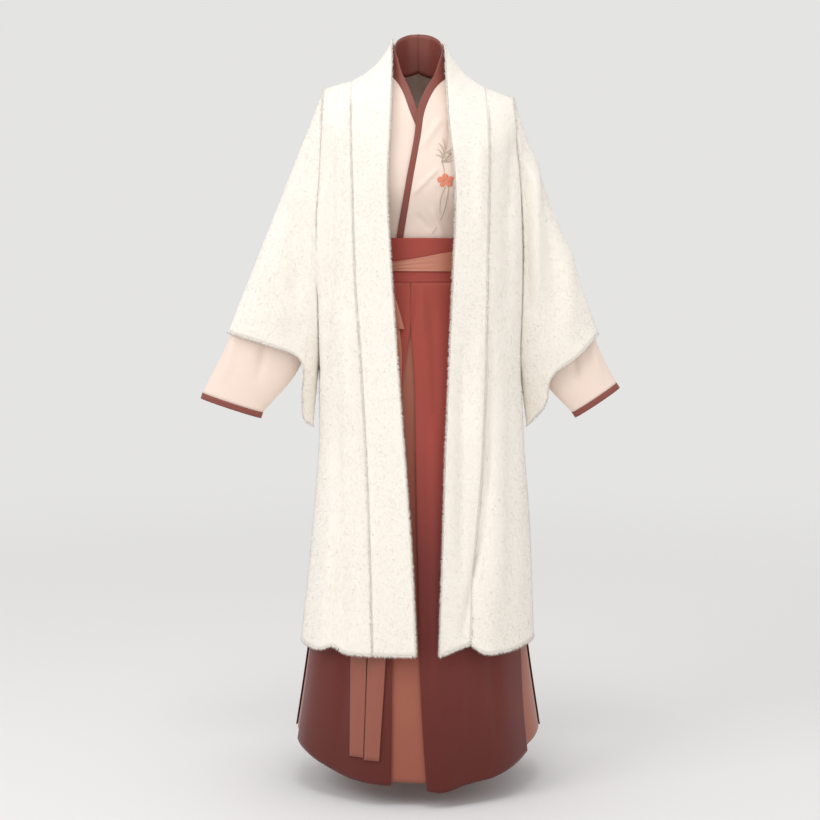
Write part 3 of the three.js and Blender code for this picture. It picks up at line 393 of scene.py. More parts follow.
def coat_sleeve(side):
    """Sleeve: straight lines from the armhole to the opening edge, an oval that narrows below."""
    hem = COAT_SLEEVE_HEM[side]

    def surface(u, v):
        """Round the sleeve with u, from the armhole at v = 0 to the opening at v = 1."""
        q = u % 1
        down = (1 - np.cos(2 * np.pi * q)) / 2
        drop = COAT_ARMHOLE * down
        angle = armhole_angle(COAT, drop)
        start = coat_point(SIDES[side] * np.where(q <= 0.5, angle, np.pi - angle), drop)
        swell = 2 * np.sqrt(down * (1 - down)) * (1 - COAT_SLEEVE_NARROWING * down)
        depth = np.where(q <= 0.5, -1, 1) * COAT_SLEEVE_DEPTH * swell
        end = joined(read(hem, "share", "x", down), depth, read(hem, "share", "z", down))
        point = lerp(start, end, np.asarray(v)[..., None])
        point[..., 0] += SIDES[side] * sleeve_clearance(down) * (1 - v)
        return point
    return surface


def neck_line(rows, sign, turn):
    """Free edge round the back of the neck on one side, read from its table."""
    x, y, z = (read(rows, "turn", axis, turn) for axis in "xyz")
    return joined(sign * x, y, z)


def coat_band(side):
    """Band: straight from its seam to its free edge, sagging as a parabola round the neck."""
    front = coat_front(side)
    sign = SIDES[side]

    def surface(u, v):
        """From the seam at u = 0 to the free edge; v runs from the centre back to the hem."""
        turn = np.minimum(v / BAND_SPLIT, 1)
        down = np.maximum((v - BAND_SPLIT) / (1 - BAND_SPLIT), 0)
        behind = (v < BAND_SPLIT)[..., None]
        drop = coat_drop(down)
        zero = np.zeros_like(down)
        seam = np.where(behind, coat_back(0.5 + sign * turn * BACK_NECK_SHARE / 2, zero), front(zero, down))
        neck = neck_line(BAND_NECK, sign, turn)
        edge_x = read(COAT_OPENING, "drop", side + "_edge", drop)
        free = coat_point(angle_at(COAT, edge_x, drop), drop)
        free[..., 1] += read(BAND_LIFT, "drop", "y", drop)
        free[..., 2] += read(BAND_LIFT, "drop", "z", drop)
        edge = np.where(behind, neck, free)
        inward = joined(-seam[..., 0], -seam[..., 1], 0)
        inward /= np.linalg.norm(inward, axis=-1, keepdims=True)
        inward[..., 2] = BAND_SAG_FALL
        inward /= np.linalg.norm(inward, axis=-1, keepdims=True)
        width = np.linalg.norm(edge - seam, axis=-1)
        share = lerp(2 * SEAM_GAP / width, 1, u)
        sag = read(BAND_NECK, "turn", "sag", turn) * (1 - smooth(0, 60, drop)) * 4 * u * (1 - u)
        return lerp(seam, edge, share[..., None]) + inward * sag[..., None]
    return surface


def unit_normals(points):
    """Unit normals of a grid of points: the cross product of its two directions, facing out."""
    normal = np.cross(np.gradient(points, axis=1), np.gradient(points, axis=0))
    normal /= np.maximum(np.linalg.norm(normal, axis=-1, keepdims=True), 1e-9)
    outwards = np.sum(normal[..., :2] * (points[..., :2] - points[..., :2].mean((0, 1)) * 0.2))
    return normal if outwards >= 0 else -normal


def creased(points, normals, rows, depth):
    """Moves points along their normals by bumps round lines drawn in front view, times a depth."""
    x, z = points[..., 0], points[..., 2]
    push = np.zeros(x.shape)
    for x0, z0, x1, z1, width, out, face in zip(*rows.values()):
        length2 = (x1 - x0) ** 2 + (z1 - z0) ** 2
        t = ((x - x0) * (x1 - x0) + (z - z0) * (z1 - z0)) / length2
        inside = np.clip(t, 0, 1)
        away = np.hypot(x - lerp(x0, x1, inside), z - lerp(z0, z1, inside))
        ends = smooth(-0.12, 0.25, t) * (1 - smooth(0.75, 1.12, t))
        push += out * bump(away, width) * ends * (np.sign(points[..., 1]) == face)
    return points + normals * depth * push[..., None]


def new_group(name, inputs, outputs):
    """Empty shader node group with named float or colour sockets; returns it, its input and output."""
    group = bpy.data.node_groups.new(name, "ShaderNodeTree")
    for socket, kind, value in inputs:
        made = group.interface.new_socket(socket, in_out="INPUT", socket_type=kind)
        made.default_value = value
    for socket, kind in outputs:
        group.interface.new_socket(socket, in_out="OUTPUT", socket_type=kind)
    return group, group.nodes.new("NodeGroupInput"), group.nodes.new("NodeGroupOutput")


def cloth_group():
    """Cloth effect: a broad uneven tone, a fine thread or pile relief, and the colour they give."""
    color, number = "NodeSocketColor", "NodeSocketFloat"
    group, given, result = new_group(
        "cloth_surface",
        [("Colour", color, (1, 1, 1, 1)), ("Shade", color, (0.5, 0.5, 0.5, 1)), ("Broad Scale", number, 6),
         ("Fine Scale", number, 600), ("Mottle", number, 0.3), ("Relief", number, 0.5)],
        [("Colour", color), ("Height", number)])
    nodes, links = group.nodes, group.links
    place = nodes.new("ShaderNodeTexCoord")
    broad = nodes.new("ShaderNodeTexNoise")
    broad.inputs["Detail"].default_value = 4
    fine = nodes.new("ShaderNodeTexNoise")
    fine.inputs["Detail"].default_value = 3
    links.new(place.outputs["Object"], broad.inputs["Vector"])
    links.new(place.outputs["Object"], fine.inputs["Vector"])
    links.new(given.outputs["Broad Scale"], broad.inputs["Scale"])
    links.new(given.outputs["Fine Scale"], fine.inputs["Scale"])
    both = nodes.new("ShaderNodeMath")
    both.operation = "MULTIPLY"
    links.new(broad.outputs["Fac"], both.inputs[0])
    links.new(fine.outputs["Fac"], both.inputs[1])
    amount = nodes.new("ShaderNodeMath")
    amount.operation = "MULTIPLY"
    links.new(both.outputs[0], amount.inputs[0])
    links.new(given.outputs["Mottle"], amount.inputs[1])
    mix = nodes.new("ShaderNodeMix")
    mix.data_type = "RGBA"
    links.new(amount.outputs[0], mix.inputs[0])
    links.new(given.outputs["Colour"], mix.inputs[6])
    links.new(given.outputs["Shade"], mix.inputs[7])
    height = nodes.new("ShaderNodeMath")
    height.operation = "MULTIPLY"
    links.new(fine.outputs["Fac"], height.inputs[0])
    links.new(given.outputs["Relief"], height.inputs[1])
    links.new(mix.outputs[2], result.inputs["Colour"])
    links.new(height.outputs[0], result.inputs["Height"])
    return group


CLOTH_SURFACE = cloth_group()


def linear(red, green, blue):
    """Linear colour from display values of 0 to 255."""
    share = np.array([red, green, blue]) / 255
    value = np.where(share <= 0.04045, share / 12.92, ((share + 0.055) / 1.055) ** 2.4)
    return (*value.tolist(), 1)


def cloth_material(name, shade, finish, colour=None, ramp=None):
    """Cloth material: one colour, or a ramp of colours by height, under the cloth surface group."""
    material, shader = plain_material(name, finish["roughness"])
    nodes, links = material.node_tree.nodes, material.node_tree.links
    shader.inputs["Sheen Weight"].default_value = finish["sheen"]
    shader.inputs["Sheen Roughness"].default_value = finish["sheen_roughness"]
    shader.inputs["Specular IOR Level"].default_value = finish["specular"]
    surface = nodes.new("ShaderNodeGroup")
    surface.node_tree = CLOTH_SURFACE
    for socket, value in finish["surface"].items():
        surface.inputs[socket].default_value = value
    surface.inputs["Shade"].default_value = linear(*shade)
    if ramp is None:
        surface.inputs["Colour"].default_value = linear(*colour)
    else:
        place = nodes.new("ShaderNodeTexCoord")
        split = nodes.new("ShaderNodeSeparateXYZ")
        span = nodes.new("ShaderNodeMapRange")
        span.inputs["From Min"].default_value = ramp["low"]
        span.inputs["From Max"].default_value = ramp["high"]
        stops = nodes.new("ShaderNodeValToRGB")
        links.new(place.outputs["Object"], split.inputs[0])
        links.new(split.outputs["Z"], span.inputs["Value"])
        links.new(span.outputs["Result"], stops.inputs["Fac"])
        while len(stops.color_ramp.elements) < len(ramp["stops"]):
            stops.color_ramp.elements.new(0.5)
        for element, (at, tone) in zip(stops.color_ramp.elements, ramp["stops"]):
            element.position = at
            element.color = linear(*tone)
        links.new(stops.outputs["Color"], surface.inputs["Colour"])
    relief = nodes.new("ShaderNodeBump")
    relief.inputs["Strength"].default_value = finish["bump"]
    relief.inputs["Distance"].default_value = finish["depth"]
    links.new(surface.outputs["Height"], relief.inputs["Height"])
    links.new(relief.outputs["Normal"], shader.inputs["Normal"])
    links.new(surface.outputs["Colour"], shader.inputs["Base Color"])
    return material


def surface_area(points):
    """Area of a grid of points in square metres: two triangles to a cell."""
    a, b = points[:-1, 1:] - points[:-1, :-1], points[1:, :-1] - points[:-1, :-1]
    c, d = points[:-1, 1:] - points[1:, 1:], points[1:, :-1] - points[1:, 1:]
    doubled = np.linalg.norm(np.cross(a, b), axis=-1) + np.linalg.norm(np.cross(c, d), axis=-1)
    return doubled.sum() / 2 * MM ** 2


def cloth(node, surface, columns, rows, wall, material, closed=False, creases=None,
          pile=None, free_edges=(), on_it=()):
    """Thin shell of cloth through a surface over 0..1 by 0..1, with creases and pile if it has them.
    """
    u, v = np.meshgrid(np.linspace(0, 1, columns + 1), np.linspace(0, 1, rows + 1))
    smooth_form = surface(u, v)
    normals = unit_normals(smooth_form)
    if closed:
        normals[:, -1] = normals[:, 0] = (normals[:, 0] + normals[:, -1]) / 2
    shape = smooth_form if creases is None else creased(smooth_form, normals, *creases)
    kept = shape[:, :-1] if closed else shape
    faces = grid_faces(columns, rows, closed)
    way = np.cross(np.gradient(shape, axis=1), np.gradient(shape, axis=0))
    if np.sum(way * normals) < 0:
        faces = faces[:, ::-1]
    piece = new_object(node + "_cloth", kept * MM, faces, material)
    shell = piece.modifiers.new("wall", "SOLIDIFY")
    shell.thickness = wall * MM
    shell.offset = 0
    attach(piece, "root")
    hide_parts(node)
    on_it = list(on_it)
    if pile is not None:
        on_it.append(tufts(node + "_pile", shape, normals, pile, wall, free_edges))
    return piece


def tufts(name, shape, normals, material, wall, free_edges):
    """Pile: closed three-sided spikes, as many to each cell as its area asks, leaning downwards.

    A further row stands out along each free edge, which is where the pile shows in outline.
    """
    rng = np.random.default_rng(sum(map(ord, name)))
    rows, columns = shape.shape[0] - 1, shape.shape[1] - 1
    corner = shape[:-1, :-1]
    cells = np.linalg.norm(np.cross(shape[:-1, 1:] - corner, shape[1:, :-1] - corner), axis=-1)
    count = int(surface_area(shape) * PILE_PER_M2)
    cell = rng.choice(cells.size, count, p=cells.ravel() / cells.sum())
    i, j = cell % columns + rng.random(count), cell // columns + rng.random(count)
    out = np.zeros((count, 3))
    for at_column, at_row in free_edges:
        along = shape[:, int(at_column * columns)] if at_row is None else shape[int(at_row * rows)]
        walk = np.append(0, np.cumsum(np.linalg.norm(np.diff(along, axis=0), axis=1)))
        n = int(walk[-1] * EDGE_PER_MM)
        steps = np.interp(rng.random(n) * walk[-1], walk, np.arange(len(walk)))
        edge_i = steps if at_row is not None else np.full(n, at_column * columns)
        edge_j = steps if at_row is None else np.full(n, at_row * rows)
        b, a = np.minimum(edge_j.astype(int), rows - 1), np.minimum(edge_i.astype(int), columns - 1)
        if at_row is None:
            inward = shape[b, columns - 4] - shape[b, columns]
            inward = inward if at_column == 1 else -inward
        else:
            inward = shape[rows - 3, a] - shape[rows, a] if at_row == 1 else shape[3, a] - shape[0, a]
        i, j = np.append(i, edge_i), np.append(j, edge_j)
        out = np.concatenate([out, -inward / np.linalg.norm(inward, axis=1, keepdims=True)])
    a, b = np.minimum(i.astype(int), columns - 1), np.minimum(j.astype(int), rows - 1)
    s, t = (i - a)[:, None], (j - b)[:, None]

    def between(field):
        """Value of a grid at each tuft, straight between the four corners of its cell."""
        return lerp(lerp(field[b, a], field[b, a + 1], s), lerp(field[b + 1, a], field[b + 1, a + 1], s), t)
    root, normal = between(shape), between(normals)
    total = len(root)
    stray = rng.normal(0, PILE_LEAN["stray"], (total, 3))
    lean = normal * PILE_LEAN["off"] + stray + np.array([0, 0, PILE_LEAN["down"]]) + PILE_LEAN["edge"] * out
    lean /= np.linalg.norm(lean, axis=1, keepdims=True)
    side = np.cross(lean, rng.normal(0, 1, (total, 3)))
    side /= np.linalg.norm(side, axis=1, keepdims=True)
    other = np.cross(lean, side)
    base = root + normal * wall * PILE_SINK
    longer = 1 + EDGE_LENGTHENING * np.linalg.norm(out, axis=1, keepdims=True)
    tip = base + lean * rng.uniform(*PILE_LENGTH, (total, 1)) * longer
    corners = [base + PILE_ROOT * (math.cos(turn) * side + math.sin(turn) * other) for turn in PILE_CORNERS]
    points = np.stack([*corners, tip], 1) * MM
    faces = np.arange(total)[:, None, None] * 4 + np.array([[0, 1, 3], [1, 2, 3], [2, 0, 3], [2, 1, 0]])
    piece = new_object(name, points, faces.reshape(-1, 3), material)
    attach(piece, "root")
    return piece


KNIT_FINISH = {
    "roughness": 0.95, "sheen": 0.35, "sheen_roughness": 0.5, "specular": 0.15, "bump": 0.55, "depth": 0.002,
    "surface": {"Broad Scale": 9, "Fine Scale": 420, "Mottle": 0.5, "Relief": 1.0},
}
PILE_FINISH = {
    "roughness": 1, "sheen": 0.2, "sheen_roughness": 0.6, "specular": 0.1, "bump": 0, "depth": 0.001,
    "surface": {"Broad Scale": 9, "Fine Scale": 300, "Mottle": 0.3, "Relief": 0},
}
knit = cloth_material("fluffy_cream_knit", (236, 226, 212), KNIT_FINISH, colour=(253, 247, 238))
pile_yarn = cloth_material("cream_pile", (238, 228, 214), PILE_FINISH, colour=(254, 249, 241))
HEM, ARMHOLE, FIRST_EDGE, LAST_EDGE = (0, 1), (0, 0), (0, None), (1, None)
COAT_PANELS = {"coat_back": (coat_back, 130, 160, [HEM, FIRST_EDGE, LAST_EDGE])}
for side in SIDES:
    COAT_PANELS[f"coat_front_{side}"] = (coat_front(side), 56, 190, [HEM, LAST_EDGE])
    COAT_PANELS[f"coat_sleeve_{side}"] = (coat_sleeve(side), 150, 70, [HEM, ARMHOLE])
    COAT_PANELS[f"coat_band_{side}"] = (coat_band(side), 24, 210, [HEM, FIRST_EDGE, LAST_EDGE])
for node, (surface, columns, rows, free_edges) in COAT_PANELS.items():
    cloth(node, surface, columns, rows, KNIT_WALL, knit,
          closed="sleeve" in node, creases=(COAT_CREASES, KNIT_FOLD_DEPTH), pile=pile_yarn,
          free_edges=free_edges)

# ---------------------------------------------------------------------------
# Top: pale satin, the left front crossed over the right, with maroon satin strips sewn round
# the neck and down the fronts and narrow maroon bands at the wrists.
# ---------------------------------------------------------------------------
SATIN_WALL = 1
SATIN_FOLD_DEPTH = 2
STRIP_WALL = 1.8
TOP_HEM = 366
TOP_ARMHOLE = 205
TOP_BACK_NECK = 20
TOP_BACK_SPREAD = (20, 200)
TOP_SPLIT = 8 / 11
TOP_NECK_SHARE = 0.375
COLLAR_SPLIT = 3 / 14
CUFF_LENGTH = 11
OVERLAP_LIFT = 3.5
NO_FOLDS = table("top low start end width out", (0, 0, 0, 1, 1, 0))
TOP = {
    "squareness": 2.2, "front_round": 240, "back_round": 100, "tip_round": 58,
    "shoulder": {"height": -40, "slope": 0.34, "neck_slope": 0.5, "tilt": 0.05, "bend": 117},
    "rows": table("drop half shift front back", (0, 170, 0, 108, 102), (120, 166, 0, 110, 104),
                  (215, 156, 0, 112, 98), (290, 114, 0, 86, 88), (372, 114, 0, 85, 88)),
    "armhole": table("drop share", (0, 0.92), (120, 0.94), (180, 0.98), (205, 1)),
    "folds": NO_FOLDS, "back_folds": NO_FOLDS,
}
TOP_OPENING = table(
    "drop over under inward y z",
    (0, 58, -58, 14, -4, 40), (12, 49, -49, 12, 0, 25), (30, 37, -38, 9, 3, 12), (55, 24, -27, 10, 3, 6),
    (95, 10, -14, 11, 0, 3), (140, 3, 3, 11, 0, 2), (205, -10, 24, 11, 0, 2), (304, -27, 44, 11.5, 0, 1),
    (372, -36, 52, 11.5, 0, 0))
COLLAR_NECK = table("turn x y z", (0, 0, 56, 69), (0.35, 20, 51, 66), (0.7, 37, 28, 54), (1, 44, -4, 34.5))
TOP_SLEEVE = {
    "right": table("at up_x up_z low_x low_z depth",
                   (0, -156, -50, -160, -250, 55), (0.2, -188, -128, -168, -285, 50),
                   (0.45, -246, -266, -176, -350, 40), (0.65, -295, -382, -192, -440, 31),
                   (0.82, -339, -478, -216, -537, 23), (1, -393, -583, -284, -619, 20)),
    "left": table("at up_x up_z low_x low_z depth",
                  (0, 158, -58, 162, -255, 55), (0.2, 186, -136, 170, -290, 50),
                  (0.45, 238, -268, 182, -360, 40), (0.65, 279, -375, 200, -446, 31),
                  (0.82, 320, -485, 226, -554, 23), (1, 361, -565, 281, -619, 20)),
}
NECK_POINT = TOP_NECK_SHARE * 0.92 * 170
TOP_CREASES = table(
    "x0 z0 x1 z1 width out face",
    (-10, -228, 34, -184, 4, 1.4, -1), (4, -150, 40, -96, 6, 1.2, -1), (20, -250, 46, -300, 5, 1.2, -1),
    (30, -214, 58, -250, 5, -1.2, -1), (-4, -262, 22, -292, 4, -1, -1), (60, -90, 46, -170, 8, -1.2, -1),
    (-262, -400, -290, -560, 7, -3, -1), (-322, -430, -352, -560, 9, 2, -1),
    (262, -420, 292, -570, 7, -3, -1),
    (-30, -80, -60, -280, 12, 1.2, 1), (40, -90, 64, -290, 12, 1.2, 1), (300, -430, 330, -560, 9, 2, -1))


def top_drop(v):
    """Drop of the top's rows."""
    return drop_at(TOP_ARMHOLE, TOP_HEM, TOP_SPLIT, v)


def top_outer(drop):
    """Outer edge of a panel of the top: the armhole, then the side seam."""
    return np.where(drop < TOP_ARMHOLE, armhole_angle(TOP, drop), np.pi / 2) - SEAM_GAP / (2 * SIDE_REACH)


def top_edge(side, drop):
    """Where a front's panel edge runs: the left front crosses over the right."""
    column = "over" if SIDES[side] > 0 else "under"
    shift = NECK_POINT - TOP_OPENING["over"][0]
    return read(TOP_OPENING, "drop", column, drop) + SIDES[side] * shift * (1 - smooth(0, 40, drop))


def top_layer(side, angle, drop):
    """Front of the top, the left front lifted off the right where they cross."""
    point = form_point(TOP, angle, drop)
    over = smooth(10, 90, drop) * (1 - smooth(70, 112, point[..., 0])) if SIDES[side] > 0 else 0
    point[..., 1] -= OVERLAP_LIFT * over + SEAM_GAP / 2 * (1 - smooth(0, 20, drop))
    return point


def top_front(side):
    """Front panel: the top's form from the strip's seam to the outer edge."""
    def surface(u, v):
        """From the strip's seam at u = 0 to the outer edge at u = 1."""
        drop = top_drop(v)
        inner = angle_at(TOP, top_edge(side, drop), drop)
        return top_layer(side, lerp(inner, SIDES[side] * top_outer(drop), u), drop)
    return surface


def top_back(u, v):
    """Back panel from the wearer's right to left."""
    drop = top_drop(v)
    return back_point(TOP, u, drop, TOP_ARMHOLE, TOP_BACK_NECK, TOP_NECK_SHARE, top_outer(drop),
                      TOP_BACK_SPREAD,
                      lambda angle, low: form_point(TOP, angle, low))


def sleeve_ring(side, q, at):
    """Oval section of a sleeve between its upper and lower line in front view."""
    rows = TOP_SLEEVE[side]
    down = (1 - np.cos(2 * np.pi * q)) / 2
    x = lerp(read(rows, "at", "up_x", at), read(rows, "at", "low_x", at), down)
    z = lerp(read(rows, "at", "up_z", at), read(rows, "at", "low_z", at), down)
    return joined(x, -read(rows, "at", "depth", at) * np.sin(2 * np.pi * q), z)


def top_sleeve(side):
    """Sleeve: its ovals, drawn to the armhole seam by a fourth power near the shoulder."""
    def surface(u, v):
        """Round the sleeve with u, from the armhole at v = 0 to the wrist at v = 1."""
        q = u % 1
        down = (1 - np.cos(2 * np.pi * q)) / 2
        angle = armhole_angle(TOP, TOP_ARMHOLE * down)
        seam = form_point(TOP, SIDES[side] * np.where(q <= 0.5, angle, np.pi - angle), TOP_ARMHOLE * down)
        shift = (seam - sleeve_ring(side, q, np.zeros_like(q))) * ((1 - v) ** 4)[..., None]
        point = sleeve_ring(side, q, v) + shift
        point[..., 0] += SIDES[side] * sleeve_clearance(down) * (1 - v)
        return point
    return surface


def top_cuff(side):
    """Cuff: the sleeve's last oval carried straight on."""
    rows = TOP_SLEEVE[side]
    along = np.array([rows["low_z"][-1] - rows["up_z"][-1], 0, rows["up_x"][-1] - rows["low_x"][-1]])
    along *= -np.sign(along[2]) / np.linalg.norm(along)

    def surface(u, v):
        """The last oval, moved along by the cuff's length."""
        return sleeve_ring(side, u % 1, np.ones_like(u)) + along * lerp(SEAM_GAP, CUFF_LENGTH, v)[..., None]
    return surface


def top_collar(side):
    """Collar strip: straight from its seam to its free edge, standing up behind the neck."""
    front = top_front(side)
    sign = SIDES[side]

    def surface(u, v):
        """From the seam at u = 0 to the free edge; v runs from the centre back to the hem."""
        turn = np.minimum(v / COLLAR_SPLIT, 1)
        down = np.maximum((v - COLLAR_SPLIT) / (1 - COLLAR_SPLIT), 0)
        behind = (v < COLLAR_SPLIT)[..., None]
        zero = np.zeros_like(down)
        drop = top_drop(down)
        seam = np.where(behind, top_back(0.5 + sign * turn * TOP_NECK_SHARE / 2, zero), front(zero, down))
        neck = neck_line(COLLAR_NECK, sign, turn)
        reach = top_edge(side, drop) - sign * read(TOP_OPENING, "drop", "inward", drop)
        free = top_layer(side, angle_at(TOP, reach, drop), drop)
        free[..., 1] += read(TOP_OPENING, "drop", "y", drop)
        free[..., 2] += read(TOP_OPENING, "drop", "z", drop)
        edge = np.where(behind, neck, free)
        width = np.linalg.norm(edge - seam, axis=-1)
        return lerp(seam, edge, lerp(2 * SEAM_GAP / width, 1, u)[..., None])
    return surface


SATIN_FINISH = {
    "roughness": 0.42, "sheen": 0.15, "sheen_roughness": 0.4, "specular": 0.45, "bump": 0.12,
    "depth": 0.0006,
    "surface": {"Broad Scale": 14, "Fine Scale": 1500, "Mottle": 0.35, "Relief": 1.0},
}
blush = cloth_material("blush_satin", (206, 174, 157), SATIN_FINISH, colour=(246, 226, 212))
maroon = cloth_material("maroon_satin", (82, 34, 35), SATIN_FINISH, colour=(140, 74, 62))
# Flower print on the wearer's left chest: a poppy, a curl and a spray of grass, laid out here
# from circles and arcs and printed flat, so each is a film of colour on the satin.
PRINT_LIFT = 0.9
POPPY = {"x": 47, "z": -205, "petals": 5, "length": 15, "squash": 0.8}
STEMS = table("x0 z0 x1 z1 bend width", (47, -216, 38, -262, 4, 0.8), (52, -214, 24, -296, -7, 0.8),
              (40, -172, 58, -146, 5, 0.7), (40, -172, 50, -134, 2, 0.7), (40, -172, 70, -158, 6, 0.7),
              (40, -172, 44, -196, -2, 0.8), (42, -166, 32, -150, 3, 0.9), (44, -160, 35, -140, 3, 0.9),
              (46, -164, 58, -154, 3, 0.9), (48, -156, 60, -140, 3, 0.9), (43, -168, 30, -160, 2, 0.9),
              (50, -158, 66, -150, 2, 0.9), (46, -150, 42, -132, 2, 0.9), (45, -170, 58, -164, 2, 0.9))
CURL = table("x0 z0 x1 z1 bend width", (54, -106, 60, -98, 4, 1.1), (54, -106, 61, -113, -4, 1.1),
             (60, -98, 64, -104, 3, 1))


def on_satin(x, z):
    """Places in front view put on the left front, just off the cloth."""
    drop = -z + shoulder_height(TOP["shoulder"], x) * (1 - smooth(0, 300, -z))
    point = top_layer("left", angle_at(TOP, x, drop), drop)
    point[..., 1] -= SATIN_WALL / 2 + PRINT_LIFT
    return joined(x, point[..., 1], z)


def petal(turn, share, rows=10, columns=8):
    """Petal: a fan from the middle whose length is L(1 - 0.25 s^2) over its width s."""
    out, s = np.meshgrid(np.linspace(0.12, 1, rows + 1), np.linspace(-1, 1, columns + 1), indexing="ij")
    angle = turn + s * 0.58 * share
    radius = POPPY["length"] * out * (1 - 0.25 * s ** 2)
    rise = POPPY["squash"] * radius * np.sin(angle)
    grid = on_satin(POPPY["x"] + radius * np.cos(angle), POPPY["z"] + rise)
    return grid, (columns, rows)


def print_piece(name, parts, material):
    """One film from several small grids."""
    points, faces, count = [], [], 0
    for grid, (columns, rows) in parts:
        points.append(grid.reshape(-1, 3))
        faces.append(grid_faces(columns, rows) + count)
        count += len(points[-1])
    piece = new_object(name, np.concatenate(points) * MM, np.concatenate(faces), material)
    film = piece.modifiers.new("wall", "SOLIDIFY")
    film.thickness = 0.0003
    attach(piece, "root")
    return piece


def stem(x0, z0, x1, z1, bend, width):
    """Stem: a parabola bowed aside from the straight line, tapering to its end."""
    t, s = np.meshgrid(np.linspace(0, 1, 17), np.array([-1.0, 1.0]), indexing="ij")
    length = math.hypot(x1 - x0, z1 - z0)
    aside = 4 * bend * t * (1 - t) + s * width * (1 - 0.6 * t)
    x = lerp(x0, x1, t) + aside * (z1 - z0) / length
    return on_satin(x, lerp(z0, z1, t) - aside * (x1 - x0) / length), (1, 16)


poppy_print = cloth_material("poppy_print", (206, 96, 70), SATIN_FINISH, colour=(236, 142, 110))
grass_print = cloth_material("grass_print", (158, 142, 120), SATIN_FINISH, colour=(196, 180, 158))
turns = np.arange(POPPY["petals"]) * 2 * math.pi / POPPY["petals"] + 0.4
petals = [petal(turn, share) for turn, share in zip(turns, (1, 0.85, 1.05, 0.8, 0.95))]
stems = [stem(*row) for row in zip(*STEMS.values())]
petals += [stem(*row) for row in zip(*CURL.values())]
PRINTS = [print_piece("poppy_print", petals, poppy_print), print_piece("grass_print", stems, grass_print)]

# The panels and strips come after the print, which is passed to the left front as on_it; cloth does nothing
# more with that list.
TOP_PANELS = {"top_back": (top_back, 110, 110)}
TOP_STRIPS = {}
for side in SIDES:
    TOP_PANELS[f"top_front_{side}"] = (top_front(side), 110, 170)
    TOP_PANELS[f"top_sleeve_{side}"] = (top_sleeve(side), 96, 110)
    TOP_STRIPS[f"top_cuff_{side}"] = (top_cuff(side), 96, 4)
    TOP_STRIPS[f"top_collar_{side}"] = (top_collar(side), 10, 170)
for node, (surface, columns, rows) in TOP_PANELS.items():
    cloth(node, surface, columns, rows, SATIN_WALL, blush,
          closed="sleeve" in node, creases=(TOP_CREASES, SATIN_FOLD_DEPTH),
          on_it=PRINTS if node == "top_front_left" else ())
for node, (surface, columns, rows) in TOP_STRIPS.items():
    cloth(node, surface, columns, rows, STRIP_WALL, maroon,
          closed="cuff" in node)

# ---------------------------------------------------------------------------
# Skirt: a doubled waistband carries a salmon underskirt seamed at the sides and three rust
# panels over it, open at the front slit and the sides, their colour deepening to the hem.
# ---------------------------------------------------------------------------
SKIRT_WALL = 1
SKIRT_FOLD_DEPTH = 1.6
WAIST_TOP = 304
WAIST_LOW = 382
SKIRT_HEM = 1250
SKIRT_ROWS = table("drop half depth", (304, 122, 97), (382, 128, 102), (480, 141, 111), (640, 158, 125),
                   (830, 176, 143), (1040, 199, 164), (1270, 234, 194))
FLUTES = table("deg width out", (-150, 10, 8), (-128, 10, -4), (-108, 10, 5), (-62, 10, 4), (-38, 10, -4),
               (-16, 9, 3), (10, 8, 8), (38, 12, 3), (60, 10, -3), (108, 10, 5), (130, 10, -4),
               (152, 10, 8), (180, 10, -5))
HEM_DROPS = table("deg drop", (0, 1252), (30, 1247), (50, 1228), (64, 1212), (90, 1198), (130, 1225),
                  (180, 1240))
SLIT = table(
    "drop right left right_side left_side back_side",
    (382, -14.5, -13.5, -89.7, 89.7, 90.3), (460, -14.5, -13.5, -89, 88.5, 91), (556, -27, -7, -87, 86, 92),
    (700, -34, -5, -84, 81, 93.5), (1040, -45, 2, -74, 68, 96), (1160, -46, 8, -73, 62, 97),
    (1270, -47, 16, -73, 59, 98))
SKIRT_CREASES = table(
    "x0 z0 x1 z1 width out face",
    (-8, -384, -16, -470, 5, -1.4, -1), (4, -384, 8, -480, 6, 1.4, -1), (24, -400, 30, -640, 9, -1.6, -1),
    (14, -560, 20, -1150, 8, -1.6, -1), (-60, -700, -78, -1200, 11, 1.8, -1),
    (60, -640, 76, -1220, 12, 1.8, -1), (110, -700, 138, -1190, 13, -2, -1),
    (-112, -760, -136, -1190, 13, -2, -1), (-50, -500, -70, -1200, 18, 2, 1),
    (60, -500, 84, -1200, 18, 2, 1), (6, -520, 4, -1200, 18, -2, 1))


def skirt_form(deg, drop):
    """Ellipse at each drop with flutes round it that grow as the 1.5 power to the hem."""
    turn = (deg + 180) % 360 - 180
    grow = np.maximum((drop - WAIST_LOW) / (SKIRT_HEM - WAIST_LOW), 0) ** 1.5
    flute = np.zeros(np.broadcast(deg, drop).shape)
    for middle, width, out in zip(FLUTES["deg"], FLUTES["width"], FLUTES["out"]):
        apart = np.abs(turn - middle)
        flute = flute + out * bump(np.minimum(apart, 360 - apart), width)
    half = read(SKIRT_ROWS, "drop", "half", drop) + flute * grow
    depth = read(SKIRT_ROWS, "drop", "depth", drop) + flute * grow
    return joined(half * np.sin(np.radians(deg)), -depth * np.cos(np.radians(deg)), -drop)


def skirt_at(deg, drop, lift):
    """Skirt's form moved out along its own normal."""
    step = 0.002
    a = skirt_form(deg + step, drop) - skirt_form(deg - step, drop)
    b = skirt_form(deg, drop + step) - skirt_form(deg, drop - step)
    normal = np.cross(a, b)
    normal /= np.linalg.norm(normal, axis=-1, keepdims=True)
    point = skirt_form(deg, drop)
    away = np.sign((normal[..., :2] * point[..., :2]).sum(-1, keepdims=True))
    return point + normal * away * np.asarray(lift, float)[..., None]


def skirt_degrees(x, drop):
    """Degrees round the front at which the skirt is x across."""
    return np.degrees(np.arcsin(x / read(SKIRT_ROWS, "drop", "half", drop)))


